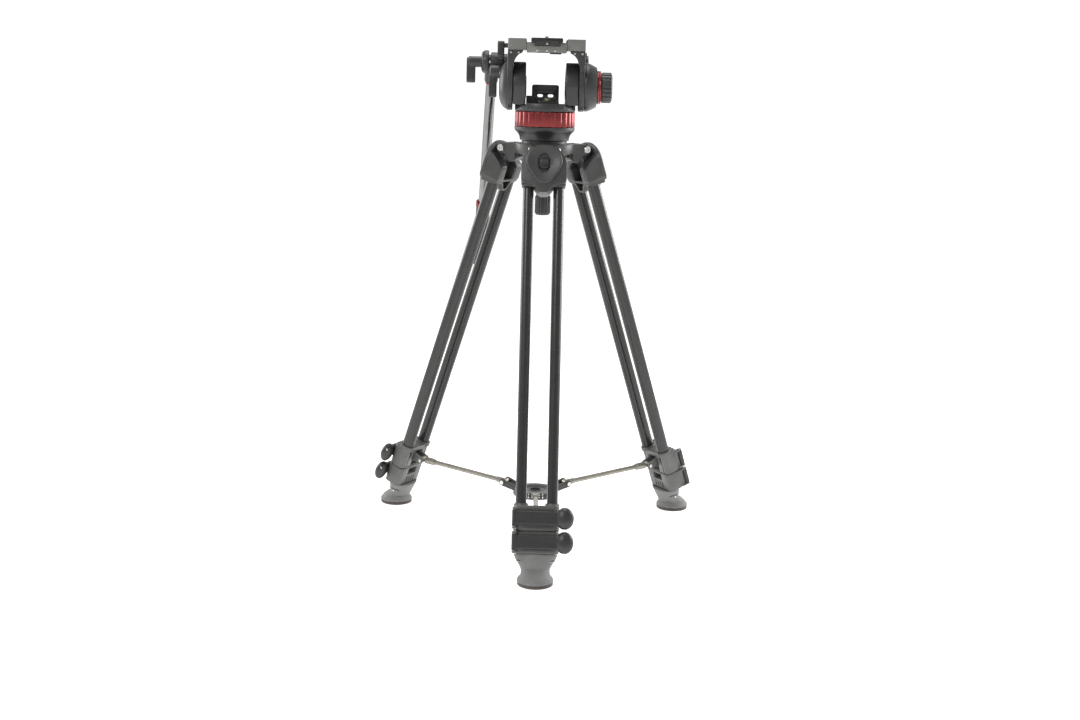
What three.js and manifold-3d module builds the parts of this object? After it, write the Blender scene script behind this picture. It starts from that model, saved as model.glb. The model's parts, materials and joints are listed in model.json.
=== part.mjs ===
// Video tripod with a fluid head: three twin-tube legs of three stages, a mid-level spreader,
// a 75 mm levelling bowl, and a bridge-shaped pan and tilt head with a sliding camera plate.
// Millimetres, +Z up. Everything is laid out from the tripod's vertical axis, with z = 0 on the
// floor. The lens side of the head faces -Y. The whole group is shifted at the end, so that its
// origin is the middle of the base of its box.

import * as THREE from 'three';
import { mergeVertices } from 'three/addons/utils/BufferGeometryUtils.js';
import Module from 'manifold-3d';

const wasm = await Module();
wasm.setup();

// ---------- driving dimensions ----------
const GAP = 0.3; // left between pieces that touch
const LEG_AZIMUTHS = [-90, 30, 150]; // front, right back and left back, in degrees
const LEG_ANGLE = 19.25; // leg to the vertical, in degrees
const PIN_RADIUS = 68; // leg hinge pin, from the tripod's axis
const PIN_HEIGHT = 642;
const TUBE_SPACING = 48; // between the two tubes of a leg
const TUBE_INSET = 6.1; // plane of the tube axes, inward of the pin
const TUBE_WALL = 1.2;
const STAGE_GAP = 0.35; // all round, between telescoping tubes
const UPPER_TUBE = [8.5, 10.75]; // half width across the leg and half depth
const CLAMP_TOP = 560; // down the leg from the pin
const CLAMP_SPLIT = 599; // where the two clamp castings meet
const CLAMP_END = 633;
const CLAMP_HALF = 35;
const SPREADER_PIVOT = [30.4, 578.3]; // inward and down the leg from the pin
const SPREADER_HUB_HEIGHT = 73;
const SPREADER_HUB_REACH = 60;
const BOWL_HEIGHT = 651; // top of the bowl, which is the ball's centre
const BOWL_RADIUS = 37.5;
const FLOOR_TOP = 713; // floor between the head's towers
const TILT_HEIGHT = 742.6; // tilt axis, along X
const AXLE_RADIUS = 12;
const TOWER_INNER = 32;
const TOWER_OUTER = 52.5;
const ARM_INNER = 53;
const ARM_OUTER = 62;
const DRUM_RADIUS = 39.5;
const PLATFORM_TOP = 817;
const PLATE_TOP = 818;
const PLATE_WIDTH = 50;
const PLATE_LENGTH = 142;
const BAR_PIVOT = [-88, 45, 779]; // pan bar, where its axis crosses the rosette's
const BAR_BACK = 26; // pan bar from the vertical, backwards and outwards, in degrees
const BAR_OUT = 3;
const BAR_LENGTH = 395;

const STAGE_STEP = TUBE_WALL + STAGE_GAP;
const shrink = ([w, d], by) => [w - by, d - by];
const MIDDLE_TUBE = shrink(UPPER_TUBE, STAGE_STEP);
const LOWER_TUBE = shrink(MIDDLE_TUBE, STAGE_STEP);
const rad = THREE.MathUtils.degToRad;

// ---------- materials ----------
function finish(color, roughness, metalness) {
  return new THREE.MeshStandardMaterial({ color, roughness, metalness });
}

const CAST = finish(0x4a4b4a, 0.55, 0.4);
const BODY = finish(0x38393a, 0.5, 0.2);
const TUBE = finish(0x2b2b2d, 0.32, 0.85);
const PLASTIC = finish(0x202122, 0.45, 0);
const STEEL = finish(0xb9b9b4, 0.3, 1);
const RED = finish(0xb01f28, 0.28, 0.8);
const BOOT = finish(0x8c8e8b, 0.85, 0);
const GRIP = finish(0x232324, 0.8, 0);
const SPREAD = finish(0x8b8a83, 0.45, 0.6);
const VIAL = finish(0xb8c95a, 0.1, 0);

// ---------- closed solids from three.js geometry ----------
function solid(geometry) {
  geometry.deleteAttribute('normal');
  geometry.deleteAttribute('uv');
  const merged = mergeVertices(geometry, 1e-4);
  const p = merged.attributes.position.array;
  const faces = [];
  let volume = 0;
  for (let i = 0; i < merged.index.count; i += 3) {
    const [a, b, c] = [0, 1, 2].map((k) => merged.index.getX(i + k));
    if (a === b || b === c || a === c) continue;
    faces.push(a, b, c);
    const [u, v, w] = [a, b, c].map((k) => new THREE.Vector3().fromArray(p, 3 * k));
    volume += u.dot(v.cross(w));
  }
  if (volume < 0) faces.reverse();
  const mesh = new wasm.Mesh({
    numProp: 3,
    vertProperties: new Float32Array(p),
    triVerts: new Uint32Array(faces),
  });
  return new wasm.Manifold(mesh);
}

function geometryOf(manifold) {
  const { vertProperties, triVerts } = manifold.getMesh();
  const geometry = new THREE.BufferGeometry();
  geometry.setAttribute('position', new THREE.BufferAttribute(new Float32Array(vertProperties), 3));
  geometry.setIndex(new THREE.BufferAttribute(new Uint32Array(triVerts), 1));
  return geometry;
}

const shifted = (manifold, x, y, z) => solid(geometryOf(manifold).translate(x, y, z));
const turned = (manifold, degrees) => solid(geometryOf(manifold).rotateZ(rad(degrees)));
const join = (first, ...others) => others.reduce((sum, piece) => sum.add(piece), first);
const cut = (first, ...others) => others.reduce((rest, piece) => rest.subtract(piece), first);

function box(x0, x1, y0, y1, z0, z1) {
  const geometry = new THREE.BoxGeometry(x1 - x0, y1 - y0, z1 - z0);
  return solid(geometry.translate((x0 + x1) / 2, (y0 + y1) / 2, (z0 + z1) / 2));
}

// A cylinder along x, y or z; [u, v] is its centre in the other two axes.
function rod(axis, radius, from, to, [u, v] = [0, 0], sides = 20) {
  const geometry = new THREE.CylinderGeometry(radius, radius, to - from, sides);
  geometry.translate(0, (from + to) / 2, 0);
  if (axis === 'x') geometry.rotateZ(-Math.PI / 2).translate(0, u, v);
  if (axis === 'y') geometry.translate(u, 0, v);
  if (axis === 'z') geometry.rotateX(Math.PI / 2).translate(u, v, 0);
  return solid(geometry);
}

function strut(a, b, radius, sides = 8) {
  const [start, end] = [new THREE.Vector3(...a), new THREE.Vector3(...b)];
  const along = end.clone().sub(start);
  const geometry = new THREE.CylinderGeometry(radius, radius, along.length(), sides);
  const turn = new THREE.Quaternion().setFromUnitVectors(new THREE.Vector3(0, 1, 0), along.normalize());
  geometry.applyQuaternion(turn);
  geometry.translate(...start.add(end).multiplyScalar(0.5).toArray());
  return solid(geometry);
}

// A profile of [radius, height] points turned about the z axis, or about x when axis is 'x'.
function lathe(profile, sides = 40, axis = 'z') {
  const geometry = new THREE.LatheGeometry(profile.map((q) => new THREE.Vector2(...q)), sides);
  if (axis === 'z') geometry.rotateX(Math.PI / 2);
  if (axis === 'x') geometry.rotateZ(-Math.PI / 2);
  return solid(geometry);
}

// A flat outline pushed from one place to another along an axis.
function plate(axis, shape, from, to, curveSegments = 8) {
  const options = { depth: to - from, bevelEnabled: false, curveSegments };
  const geometry = new THREE.ExtrudeGeometry(shape, options);
  const turn = new THREE.Matrix4();
  const [x, y, z] = [new THREE.Vector3(1, 0, 0), new THREE.Vector3(0, 1, 0), new THREE.Vector3(0, 0, 1)];
  if (axis === 'x') turn.makeBasis(y, z, x).setPosition(from, 0, 0);
  if (axis === 'y') turn.makeBasis(x, z, y.negate()).setPosition(0, to, 0);
  if (axis === 'z') turn.setPosition(0, 0, from);
  return solid(geometry.applyMatrix4(turn));
}

const outline = (points) => new THREE.Shape(points.map((q) => new THREE.Vector2(...q)));

function roundedRectangle(u0, u1, v0, v1, r) {
  const shape = new THREE.Shape();
  shape.absarc(u1 - r, v0 + r, r, -Math.PI / 2, 0);
  shape.absarc(u1 - r, v1 - r, r, 0, Math.PI / 2);
  shape.absarc(u0 + r, v1 - r, r, Math.PI / 2, Math.PI);
  shape.absarc(u0 + r, v0 + r, r, Math.PI, 1.5 * Math.PI);
  return shape;
}

function ribbedCircle(outer, inner, ribs) {
  const points = [];
  for (let i = 0; i < ribs * 4; i += 1) {
    const radius = i % 4 < 2 ? outer : inner;
    const angle = (i / (ribs * 4)) * 2 * Math.PI;
    points.push([radius * Math.cos(angle), radius * Math.sin(angle)]);
  }
  return outline(points);
}

// A closed skin over rings that have the same number of points each.
function loft(rings) {
  const count = rings[0].length;
  const points = rings.flat();
  const faces = [];
  for (let k = 0; k + 1 < rings.length; k += 1) {
    for (let i = 0; i < count; i += 1) {
      const [a, b] = [k * count + i, k * count + ((i + 1) % count)];
      faces.push(a, b, b + count, a, b + count, a + count);
    }
  }
  const middle = (ring) => ring.reduce((s, q) => s.add(q), new THREE.Vector3()).divideScalar(count);
  const last = (rings.length - 1) * count;
  points.push(middle(rings[0]), middle(rings[rings.length - 1]));
  for (let i = 0; i < count; i += 1) {
    const j = (i + 1) % count;
    faces.push(points.length - 2, j, i, points.length - 1, last + i, last + j);
  }
  const geometry = new THREE.BufferGeometry().setFromPoints(points);
  geometry.setIndex(faces);
  return solid(geometry);
}

function arc(cx, cy, radius, from, to, steps) {
  return Array.from({ length: steps + 1 }, (_, i) => {
    const angle = rad(from + ((to - from) * i) / steps);
    return [cx + radius * Math.cos(angle), cy + radius * Math.sin(angle)];
  });
}

// ---------- meshes ----------
const tripod = new THREE.Group();

function place(group, name, manifold, material) {
  const mesh = new THREE.Mesh(geometryOf(manifold), material);
  mesh.name = name;
  group.add(mesh);
}

// ---------- legs ----------
// A leg is drawn in its own axes: x across the leg, y inward, z up along the tubes, with the
// hinge pin at the origin, so the ground end is at z = -680 or so.

const TUBE_SIDES = 3; // of each round end of a tube's section
const TUBE_START = 33; // down the leg from the pin
const TUBE_STEP_DOWN = 15.5; // between the tops of telescoping tubes
const LONG = 700; // past the end of every tube

function ovalRod([halfWidth, halfDepth], x, from, to) {
  const straight = halfDepth - halfWidth;
  const shape = new THREE.Shape();
  shape.absarc(x, TUBE_INSET + straight, halfWidth, 0, Math.PI);
  shape.absarc(x, TUBE_INSET - straight, halfWidth, Math.PI, 2 * Math.PI);
  return plate('z', shape, from, to, TUBE_SIDES);
}

const SIDES = [-TUBE_SPACING / 2, TUBE_SPACING / 2];
const pairOfRods = (size, from, to) => SIDES.map((x) => ovalRod(size, x, from, to));

// Egg outline in the leg's x and z, wide at the top and pointed at the bottom.
function eggRing(scale, y) {
  const ring = [];
  const [halfWidth, rise, fall, middle, steps] = [29, 27, 36, -22, 14];
  for (let i = 0; i < steps; i += 1) {
    const angle = (i / steps) * 2 * Math.PI;
    const low = Math.max(0, -Math.sin(angle));
    const x = halfWidth * Math.cos(angle) * (1 - 0.28 * low);
    const z = middle + Math.sin(angle) * (low > 0 ? fall : rise) * scale;
    ring.push(new THREE.Vector3(x * scale, y, z));
  }
  return ring;
}

const PIN_SIZE = 4; // radius of the hinge pin
const BUTTON_SHAPE = [-7.6, 7.6, -33, -12];

function shoulder() {
  const face = new THREE.Shape();
  face.absellipse(0, -27, 36, 33, 0, Math.PI);
  const half = [[36, -50], [31, -55], [16, -57], [11, -66], [5, -71]];
  const skirt = [...half.map(([x, z]) => [-x, z]), ...half.reverse()];
  skirt.forEach((q) => face.lineTo(...q));
  const shield = plate('y', face, -17, -11, 6);
  const egg = loft([[1, -16], [0.8, -22]].map(([scale, y]) => eggRing(scale, y)));
  const block = plate('y', outline([[-36, -27], ...skirt, [36, -27]]), -13, 18.5);
  const tongueSide = new THREE.Shape();
  tongueSide.absarc(0, 0, 8.8, -0.2, Math.PI / 2 + 0.9);
  tongueSide.lineTo(-13, 2);
  tongueSide.lineTo(-13, -36);
  tongueSide.lineTo(6, -36);
  const tongue = plate('x', tongueSide, -14.5, 14.5, 5);
  const hollow = plate('y', roundedRectangle(-11.5, 11.5, -61, -38, 4), -9, 20, 2);
  const lowerHollow = plate('y', outline([[-9, -63.5], [-4, -68], [4, -68], [9, -63.5]]), -4, 20);
  const recess = plate('y', roundedRectangle(-11, 11, -41, -8, 10.5), -30, -18, 3);
  const [x0, x1, z0, z1] = BUTTON_SHAPE;
  const buttonHole = plate('y', roundedRectangle(x0 - GAP, x1 + GAP, z0 - GAP, z1 + GAP, 5), -19, -8.5, 2);
  const body = join(block, shield, egg, tongue);
  const pinHole = rod('x', PIN_SIZE + 2 * GAP, -20, 20, [0, 0], 10);
  const backRelief = cut(box(-40, 40, -10, 25, -27.5, 20), box(-14.5, 14.5, -14, 30, -40, 30));
  const sockets = pairOfRods(shrink(UPPER_TUBE, -GAP), -80, 1 - TUBE_START);
  return cut(body, backRelief, hollow, lowerHollow, recess, buttonHole, pinHole, ...sockets);
}

function angleButton() {
  const [x0, x1, z0, z1] = BUTTON_SHAPE;
  const cap = plate('y', roundedRectangle(x0, x1, z0, z1, 5), -20.5, -12.5, 2);
  const grooves = [-29, -25.5, -22].map((z) => box(-9, 9, -21, -19.6, z - 0.8, z + 0.8));
  return cut(cap, ...grooves);
}

const LEVER_AXIS = [-33, -20.5];
const LEVER_HALF = 13;
const LEVER_PIN = 1.6;
const UPPER_LEVER_AT = (-CLAMP_TOP - CLAMP_SPLIT) / 2;
const LOWER_LEVER_AT = (-CLAMP_SPLIT - CLAMP_END) / 2;
const castingShape = () => roundedRectangle(-CLAMP_HALF, CLAMP_HALF, -15, 16.5, 10);

// Two lugs and a hinge pin for the flip lever, on the outer face of a clamp casting.
function leverLugs(middle) {
  const [x, y] = LEVER_AXIS;
  const lugs = [middle + LEVER_HALF + 1.8, middle - LEVER_HALF - 1.8].map((z) => {
    const tip = [[x - 4, y - 2], [x - 2, y - 4], [x + 2, y - 4], [x + 5, y]];
    return plate('z', outline([[x - 4, -8], ...tip, [x + 5, -8]]), z - 1.5, z + 1.5);
  });
  const reach = LEVER_HALF + 1;
  return join(rod('z', LEVER_PIN, middle - reach, middle + reach, LEVER_AXIS, 6), ...lugs);
}

function flipLever(middle) {
  const [x, y] = LEVER_AXIS;
  const barrel = rod('z', 4.4, middle - LEVER_HALF, middle + LEVER_HALF, LEVER_AXIS, 10);
  const bar = plate('z', roundedRectangle(x, 46, -24.5, -16.5, 3), middle - 11, middle + 11, 1);
  const lobe = new THREE.SphereGeometry(1, 10, 7).scale(14, 9, 17).translate(43, y + 1, middle);
  const hole = rod('z', LEVER_PIN + 2 * GAP, middle - 20, middle + 20, LEVER_AXIS, 6);
  return cut(join(barrel, bar, solid(lobe)), hole);
}

const SPREADER_PIN = 2.5;

function upperStage() {
  const [pivotIn, pivotDown] = SPREADER_PIVOT;
  const casting = plate('z', castingShape(), -CLAMP_SPLIT, -CLAMP_TOP, 3);
  const pocket = box(-12, 12, 6, 20, -594, -566);
  const earShape = new THREE.Shape();
  earShape.moveTo(4, -588);
  earShape.lineTo(pivotIn, -pivotDown - 6);
  earShape.absarc(pivotIn, -pivotDown, 6, -Math.PI / 2, Math.PI / 2);
  earShape.lineTo(4, -569);
  const ears = [-11, 7].map((x) => plate('x', earShape, x, x + 4, 4));
  const pin = rod('x', SPREADER_PIN, -12, 12, [pivotIn, -pivotDown], 8);
  const tubes = pairOfRods(UPPER_TUBE, -CLAMP_SPLIT + 10, -TUBE_START);
  const lugs = leverLugs(UPPER_LEVER_AT);
  const bores = pairOfRods(shrink(UPPER_TUBE, TUBE_WALL), -LONG, 0);
  return cut(join(cut(casting, pocket), ...ears, pin, ...tubes, lugs), ...bores);
}

function middleStage() {
  const casting = plate('z', castingShape(), -CLAMP_END, -CLAMP_SPLIT - GAP, 3);
  const pocket = box(-12, 12, 4, 20, -CLAMP_SPLIT - 16, -CLAMP_SPLIT - 3);
  const tubes = pairOfRods(MIDDLE_TUBE, -CLAMP_END + 8, -TUBE_START - TUBE_STEP_DOWN);
  const lugs = leverLugs(LOWER_LEVER_AT);
  const bores = pairOfRods(shrink(MIDDLE_TUBE, TUBE_WALL), -LONG, 0);
  return cut(join(cut(casting, pocket), ...tubes, lugs), ...bores);
}

const FOOT_CORE_DEPTH = 12;
const footCore = (by) => roundedRectangle(-30 - by, 30 + by, -6 - by, 18 + by, 11.5 + by);

function lowerStage() {
  const core = plate('z', footCore(0), -CLAMP_END - FOOT_CORE_DEPTH, -CLAMP_END - GAP, 3);
  const tubes = pairOfRods(LOWER_TUBE, -CLAMP_END - 1, -TUBE_START - 2 * TUBE_STEP_DOWN);
  const bores = pairOfRods(shrink(LOWER_TUBE, TUBE_WALL), -CLAMP_END, 0);
  return cut(join(core, ...tubes), ...bores);
}

// The rubber shoe stands upright on the floor while the leg leans, so it is drawn in the axes of
// the leg's azimuth: x across, y towards the tripod's axis, z up from the floor.
const lean = new THREE.Matrix4().makeRotationX(-rad(LEG_ANGLE)).setPosition(0, -PIN_RADIUS, PIN_HEIGHT);
const leaned = (x, y, z) => new THREE.Vector3(x, y, z).applyMatrix4(lean);

const BOOT_SIDES = 16;

function around(halfWidth, halfDepth, point) {
  return Array.from({ length: BOOT_SIDES }, (_, i) => {
    const angle = (i / BOOT_SIDES) * 2 * Math.PI;
    return point(halfWidth * Math.cos(angle), halfDepth * Math.sin(angle));
  });
}

function boot() {
  const top = CLAMP_END + GAP;
  const sole = leaned(0, TUBE_INSET, -PIN_HEIGHT / Math.cos(rad(LEG_ANGLE)));
  const level = (radius, z) => around(radius, radius, (x, y) => new THREE.Vector3(x, sole.y + y, z));
  const sloping = (w, d, down) => around(w, d, (x, y) => leaned(x, TUBE_INSET + y, -down));
  const pad = [level(27.5, 0), level(28, 5), level(25.5, 11)];
  const skin = loft([...pad, sloping(23, 17, top + 24), sloping(33.5, 18.5, top)]);
  const floor = -CLAMP_END - FOOT_CORE_DEPTH - GAP;
  const socket = geometryOf(plate('z', footCore(GAP), floor, floor + 40, 3));
  return cut(skin, solid(socket.applyMatrix4(lean)));
}

function legPin() {
  const centre = [-PIN_RADIUS, PIN_HEIGHT];
  const heads = [[-25.8, -23.3], [23.3, 25.8]].map(([from, to]) => rod('x', 6, from, to, centre, 10));
  return join(rod('x', PIN_SIZE, -24, 24, centre, 8), ...heads);
}

function spreaderArm() {
  const outer = leaned(0, SPREADER_PIVOT[0], -SPREADER_PIVOT[1]).toArray();
  const inner = [0, -SPREADER_HUB_REACH, SPREADER_HUB_HEIGHT];
  const at = (share) => outer.map((q, i) => q + (inner[i] - q) * share);
  const eye = (end) => rod('x', 5.5, -5.5, 5.5, [end[1], end[2]], 10);
  const arm = join(strut(outer, inner, 4), strut(at(0.04), at(0.15), 6), eye(outer), eye(inner));
  return cut(arm, rod('x', SPREADER_PIN + GAP, -9, 9, [outer[1], outer[2]], 8));
}

function addLeg(number, azimuth) {
  const upright = new THREE.Group();
  upright.rotation.z = rad(azimuth + 90);
  const leaning = new THREE.Group();
  leaning.applyMatrix4(lean);
  upright.add(leaning);
  tripod.add(upright);
  const name = (part) => `leg_${number}_${part}`;
  place(upright, name('hinge_pin'), legPin(), STEEL);
  place(leaning, name('shoulder'), shoulder(), CAST);
  place(leaning, name('angle_button'), angleButton(), PLASTIC);
  place(leaning, name('upper_stage'), upperStage(), TUBE);
  place(leaning, name('upper_lever'), flipLever(UPPER_LEVER_AT), PLASTIC);
  place(leaning, name('middle_stage'), middleStage(), TUBE);
  place(leaning, name('lower_lever'), flipLever(LOWER_LEVER_AT), PLASTIC);
  place(leaning, name('lower_stage'), lowerStage(), TUBE);
  place(upright, name('boot'), boot(), BOOT);
  place(upright, `spreader_arm_${number}`, spreaderArm(), SPREAD);
}

LEG_AZIMUTHS.forEach((azimuth, i) => addLeg(i + 1, azimuth));

// ---------- spreader hub ----------
function spreaderHub() {
  const height = SPREADER_HUB_HEIGHT;
  const disc = rod('z', 38, height - 14, height - 4, [0, 0], 20);
  const ears = [];
  for (const azimuth of LEG_AZIMUTHS) {
    for (const x of [-11, 7]) {
      const shape = new THREE.Shape();
      shape.moveTo(-30, height - 12);
      shape.lineTo(-30, height - 5);
      shape.absarc(-SPREADER_HUB_REACH, height, 6, Math.PI / 2, Math.PI * 1.5);
      ears.push(turned(plate('x', shape, x, x + 4, 4), azimuth + 90));
    }
  }
  return cut(join(disc, ...ears), rod('z', 9, height - 20, height, [0, 0], 12));
}

// ---------- bowl and levelling ----------
const bowlArc = (radius, from, to, steps) => arc(0, BOWL_HEIGHT, radius, from, to, steps);
const BOWL_MOUTH = -64.7; // where the bowl's underside opens, as an angle on its sphere
const BOWL_SHELL = 42; // outer radius of the bowl's underside
const BOWL_INSIDE = BOWL_RADIUS + 0.6;
const BALL_RADIUS = BOWL_RADIUS - 0.4;
const BOLT_RADIUS = 4.9;
const PAN_RADIUS = 49;

function spider() {
  const inside = bowlArc(BOWL_INSIDE, 0, BOWL_MOUTH, 4);
  const outside = bowlArc(BOWL_SHELL, BOWL_MOUTH - 2.9, -25, 3);
  const bowl = lathe([...inside, ...outside, [47, 637], [47, BOWL_HEIGHT], inside[0]], 24);
  const side = new THREE.Shape();
  side.moveTo(-41, BOWL_HEIGHT);
  side.lineTo(-PIN_RADIUS, BOWL_HEIGHT);
  side.absarc(-PIN_RADIUS, PIN_HEIGHT, 9, Math.PI / 2, Math.PI * 1.5);
  [[-60, 631], [-57, 624], [-51, 620], [-44, 621], [-41, 626]].forEach((q) => side.lineTo(...q));
  const arms = LEG_AZIMUTHS.map((azimuth) => turned(plate('x', side, -23, 23, 5), azimuth + 90));
  const clevis = box(-15.1, 15.1, -92, -52, 610, 670);
  const bore = rod('x', PIN_SIZE + 2 * GAP, -30, 30, [-PIN_RADIUS, PIN_HEIGHT], 8);
  const holes = LEG_AZIMUTHS.map((azimuth) => turned(join(clevis, bore), azimuth + 90));
  return cut(join(bowl, ...arms), ...holes);
}

function halfBall() {
  const bolt = [[0, 566], [BOLT_RADIUS, 566], [BOLT_RADIUS, 616]];
  const ball = bowlArc(BALL_RADIUS, -70, 0, 4);
  return lathe([...bolt, ...ball, [26, 652], [26, 656.2], [0, 656.2]], 20);
}

function cupWasher() {
  const inside = arc(0, BOWL_HEIGHT, BOWL_SHELL + 0.4, -76.3, -58.6, 2);
  return lathe([...inside, [24, 612.5], [24, 607], [10, 606], inside[0]], 16);
}

function bowlKnob() {
  const grip = plate('z', ribbedCircle(13, 12, 10), 537, 566);
  const collar = lathe([[0, 534.5], [10, 534.5], [12, 537], [12, 566], [9.5, 570], [9, 601], [0, 601]], 14);
  return cut(join(grip, collar), rod('z', BOLT_RADIUS + 0.5, 560, 610, [0, 0], 10));
}

// ---------- head: pan base and body ----------
function panBase() {
  const flare = [[0, 656.5], [40, 656.5], [40.5, 660], [43, 667], [48, 671.5], [PAN_RADIUS, 673]];
  const spindle = [[22, 678.2], [22, 702.5], [0, 702.5]];
  return lathe([...flare, [PAN_RADIUS, 678.2], ...spindle], 28);
}

function panDragRing() {
  return cut(plate('z', ribbedCircle(PAN_RADIUS, 47.6, 18), 678.5, 702.7), rod('z', 22.8, 670, 710));
}

function panFloor() {
  const edge = [[PAN_RADIUS - 1, 703], [PAN_RADIUS, 704], [PAN_RADIUS, 712], [PAN_RADIUS - 1, FLOOR_TOP]];
  const disc = lathe([[0, 703], ...edge, [0, FLOOR_TOP]], 28);
  const rim = lathe([[0, 705], [50, 705], [50, 716], [46, 716], [0, 712]], 28);
  const besideTowers = [[-60, -31], [31, 60]].map(([from, to]) => box(from, to, -60, 0, 712.8, 720));
  return join(disc, cut(rim, box(-60, 60, -25, 60, 700, 720), ...besideTowers));
}

// The stretch from a to b on the +X side, or its mirror image on the -X side.
const span = (sign, a, b) => (sign < 0 ? [-b, -a] : [a, b]);

function tower(sign) {
  const side = new THREE.Shape();
  side.absarc(0, TILT_HEIGHT, 38, 0, Math.PI);
  side.lineTo(-33, FLOOR_TOP + GAP);
  side.lineTo(33, FLOOR_TOP + GAP);
  const stub = rod('x', AXLE_RADIUS, ...span(sign, TOWER_INNER, ARM_OUTER - GAP), [0, TILT_HEIGHT], 16);
  return join(plate('x', side, ...span(sign, TOWER_INNER, TOWER_OUTER), 9), stub);
}

const VIAL_RADIUS = 7;
const VIAL_CENTRE = [2, 3];
const bubbleVial = () => rod('z', VIAL_RADIUS, 717.3, 722.5, VIAL_CENTRE, 12);

function levelHousing() {
  const back = plate('y', roundedRectangle(-22, 22, FLOOR_TOP + GAP, 745, 3), 14, 20, 1);
  const tray = box(-13, 22, -6, 16, FLOOR_TOP + GAP, 719);
  const sideBox = box(-31, -12, 2, 18, FLOOR_TOP + GAP, 727);
  const windows = [-13, 4].map((x) => box(x, x + 9, 10, 24, 725, 729.5));
  const seat = rod('z', VIAL_RADIUS + 0.5, 717, 730, VIAL_CENTRE, 12);
  return cut(join(back, tray, sideBox), ...windows, seat);
}

// ---------- head: tilting bridge ----------
const PLATFORM = [-48, 52]; // along y
const PLATE_LOCK_AT = [5, 806];
const LOCK_SHAFT = 4;
const RELEASE_AT = [10, 793];
const RELEASE_RADIUS = 4.5;

function tiltArm(sign) {
  const side = new THREE.Shape();
  side.absarc(0, TILT_HEIGHT, DRUM_RADIUS, Math.PI, 2 * Math.PI);
  side.absarc(BAR_PIVOT[1], BAR_PIVOT[2], 16, -0.5, 0.9);
  side.lineTo(52, 803);
  side.lineTo(-30, 803);
  const web = plate('x', side, ...span(sign, ARM_INNER, ARM_OUTER), 8);
  const blockShape = roundedRectangle(...span(sign, TOWER_INNER, 61.5), 799, PLATFORM_TOP, 1.5);
  const block = plate('y', blockShape, ...PLATFORM, 2);
  const boss = rod('x', 14, ...span(sign, ARM_OUTER - 1, 69.7), BAR_PIVOT.slice(1), 16);
  const axleHole = rod('x', AXLE_RADIUS + 0.5, ...span(sign, 50, 65), [0, TILT_HEIGHT], 16);
  const lockPocket = rod('x', LOCK_SHAFT + 2 * GAP, -65, -55, PLATE_LOCK_AT, 10);
  const buttonPocket = rod('x', RELEASE_RADIUS + 2 * GAP, 57.5, 65, RELEASE_AT, 12);
  return cut(join(web, block, boss), axleHole, sign < 0 ? lockPocket : buttonPocket);
}

const aboutTilt = (manifold) => shifted(manifold, 0, 0, TILT_HEIGHT);

function leftDome() {
  return aboutTilt(lathe([[0, -75], [18, -75], [28, -72.5], [35, -67], [38, -62.3], [0, -62.3]], 24, 'x'));
}

function rightDome() {
  const outside = [[5.5, 62.3], [38.5, 62.3], [39, 66], [37, 72], [31, 82.4]];
  return aboutTilt(lathe([...outside, [5.5, 82.4], outside[0]], 24, 'x'));
}

function tiltDragRing() {
  const outside = [[5.5, 82.7], [26, 82.7], [27, 84], [27, 88], [26, 89]];
  return aboutTilt(lathe([...outside, [5.5, 89], outside[0]], 22, 'x'));
}

function tiltDragKnob() {
  const grip = plate('x', ribbedCircle(24.6, 23.2, 14), 90, 106);
  const shaft = [[0, 64], [5, 64], [5, 89.3]];
  const core = lathe([...shaft, [23.4, 89.3], [23.4, 106], [20.5, 107.5], [0, 107.5]], 14, 'x');
  return aboutTilt(join(grip, core));
}

function bridge() {
  const deck = box(-TOWER_INNER + GAP, TOWER_INNER - GAP, ...PLATFORM, 795.5, 806);
  const rail = [[22.1, 805], [31.7, 805], [31.7, 811.2], [19.1, 811.2]];
  const rails = [-1, 1].map((sign) => plate('y', outline(rail.map(([x, z]) => [sign * x, z])), ...PLATFORM));
  const lightening = box(-16, 16, -36, 40, 794, 800);
  return cut(join(deck, ...rails), lightening);
}

const PLATE_MIDDLE = 5; // along y

function slidingPlate() {
  const half = PLATE_WIDTH / 2;
  const [from, to] = [PLATE_MIDDLE - PLATE_LENGTH / 2, PLATE_MIDDLE + PLATE_LENGTH / 2];
  const right = [[21, 806.4], [18, 811.5], [half, 811.5], [half, 817.2], [half - 0.8, PLATE_TOP]];
  const section = outline([...right, ...right.map(([x, z]) => [-x, z]).reverse()]);
  const slot = plate('z', roundedRectangle(-3.6, 3.6, -30, 30, 3.5), 800, 820, 2);
  const headSlot = plate('z', roundedRectangle(-9, 9, -38, 38, 8.9), 800, 812, 3);
  return cut(plate('y', section, from, to), slot, headSlot);
}

function cameraScrew() {
  return lathe([[0, 807], [8, 807], [8, 811.5], [3.1, 811.5], [3.1, 821.4], [2.5, 822], [0, 822]], 12);
}

function plateLock() {
  const shaft = rod('x', LOCK_SHAFT, -69, -57, PLATE_LOCK_AT, 10);
  const handle = plate('x', roundedRectangle(-1, 11, 785, 813, 5.5), -79, -67.5, 3);
  return join(shaft, handle);
}

const releaseButton = () => rod('x', RELEASE_RADIUS - 0.1, 60, 66, RELEASE_AT, 12);

function tiltLock() {
  const hub = rod('x', 10.5, -91, -75.3, [5, 763.5], 16);
  const handle = plate('x', roundedRectangle(-2, 12, 723, 762, 5), -92, -79, 3);
  return join(hub, handle);
}

// ---------- head: pan bar ----------
const BAR_RADIUS = 8.5;

function barPoint(along) {
  const down = new THREE.Vector3(0, 0, -1).applyAxisAngle(new THREE.Vector3(0, 1, 0), rad(BAR_OUT));
  const way = down.applyAxisAngle(new THREE.Vector3(1, 0, 0), rad(BAR_BACK));
  return way.multiplyScalar(along).add(new THREE.Vector3(...BAR_PIVOT)).toArray();
}

const alongBar = (from, to, radius, sides) => strut(barPoint(from), barPoint(to), radius, sides);

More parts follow.
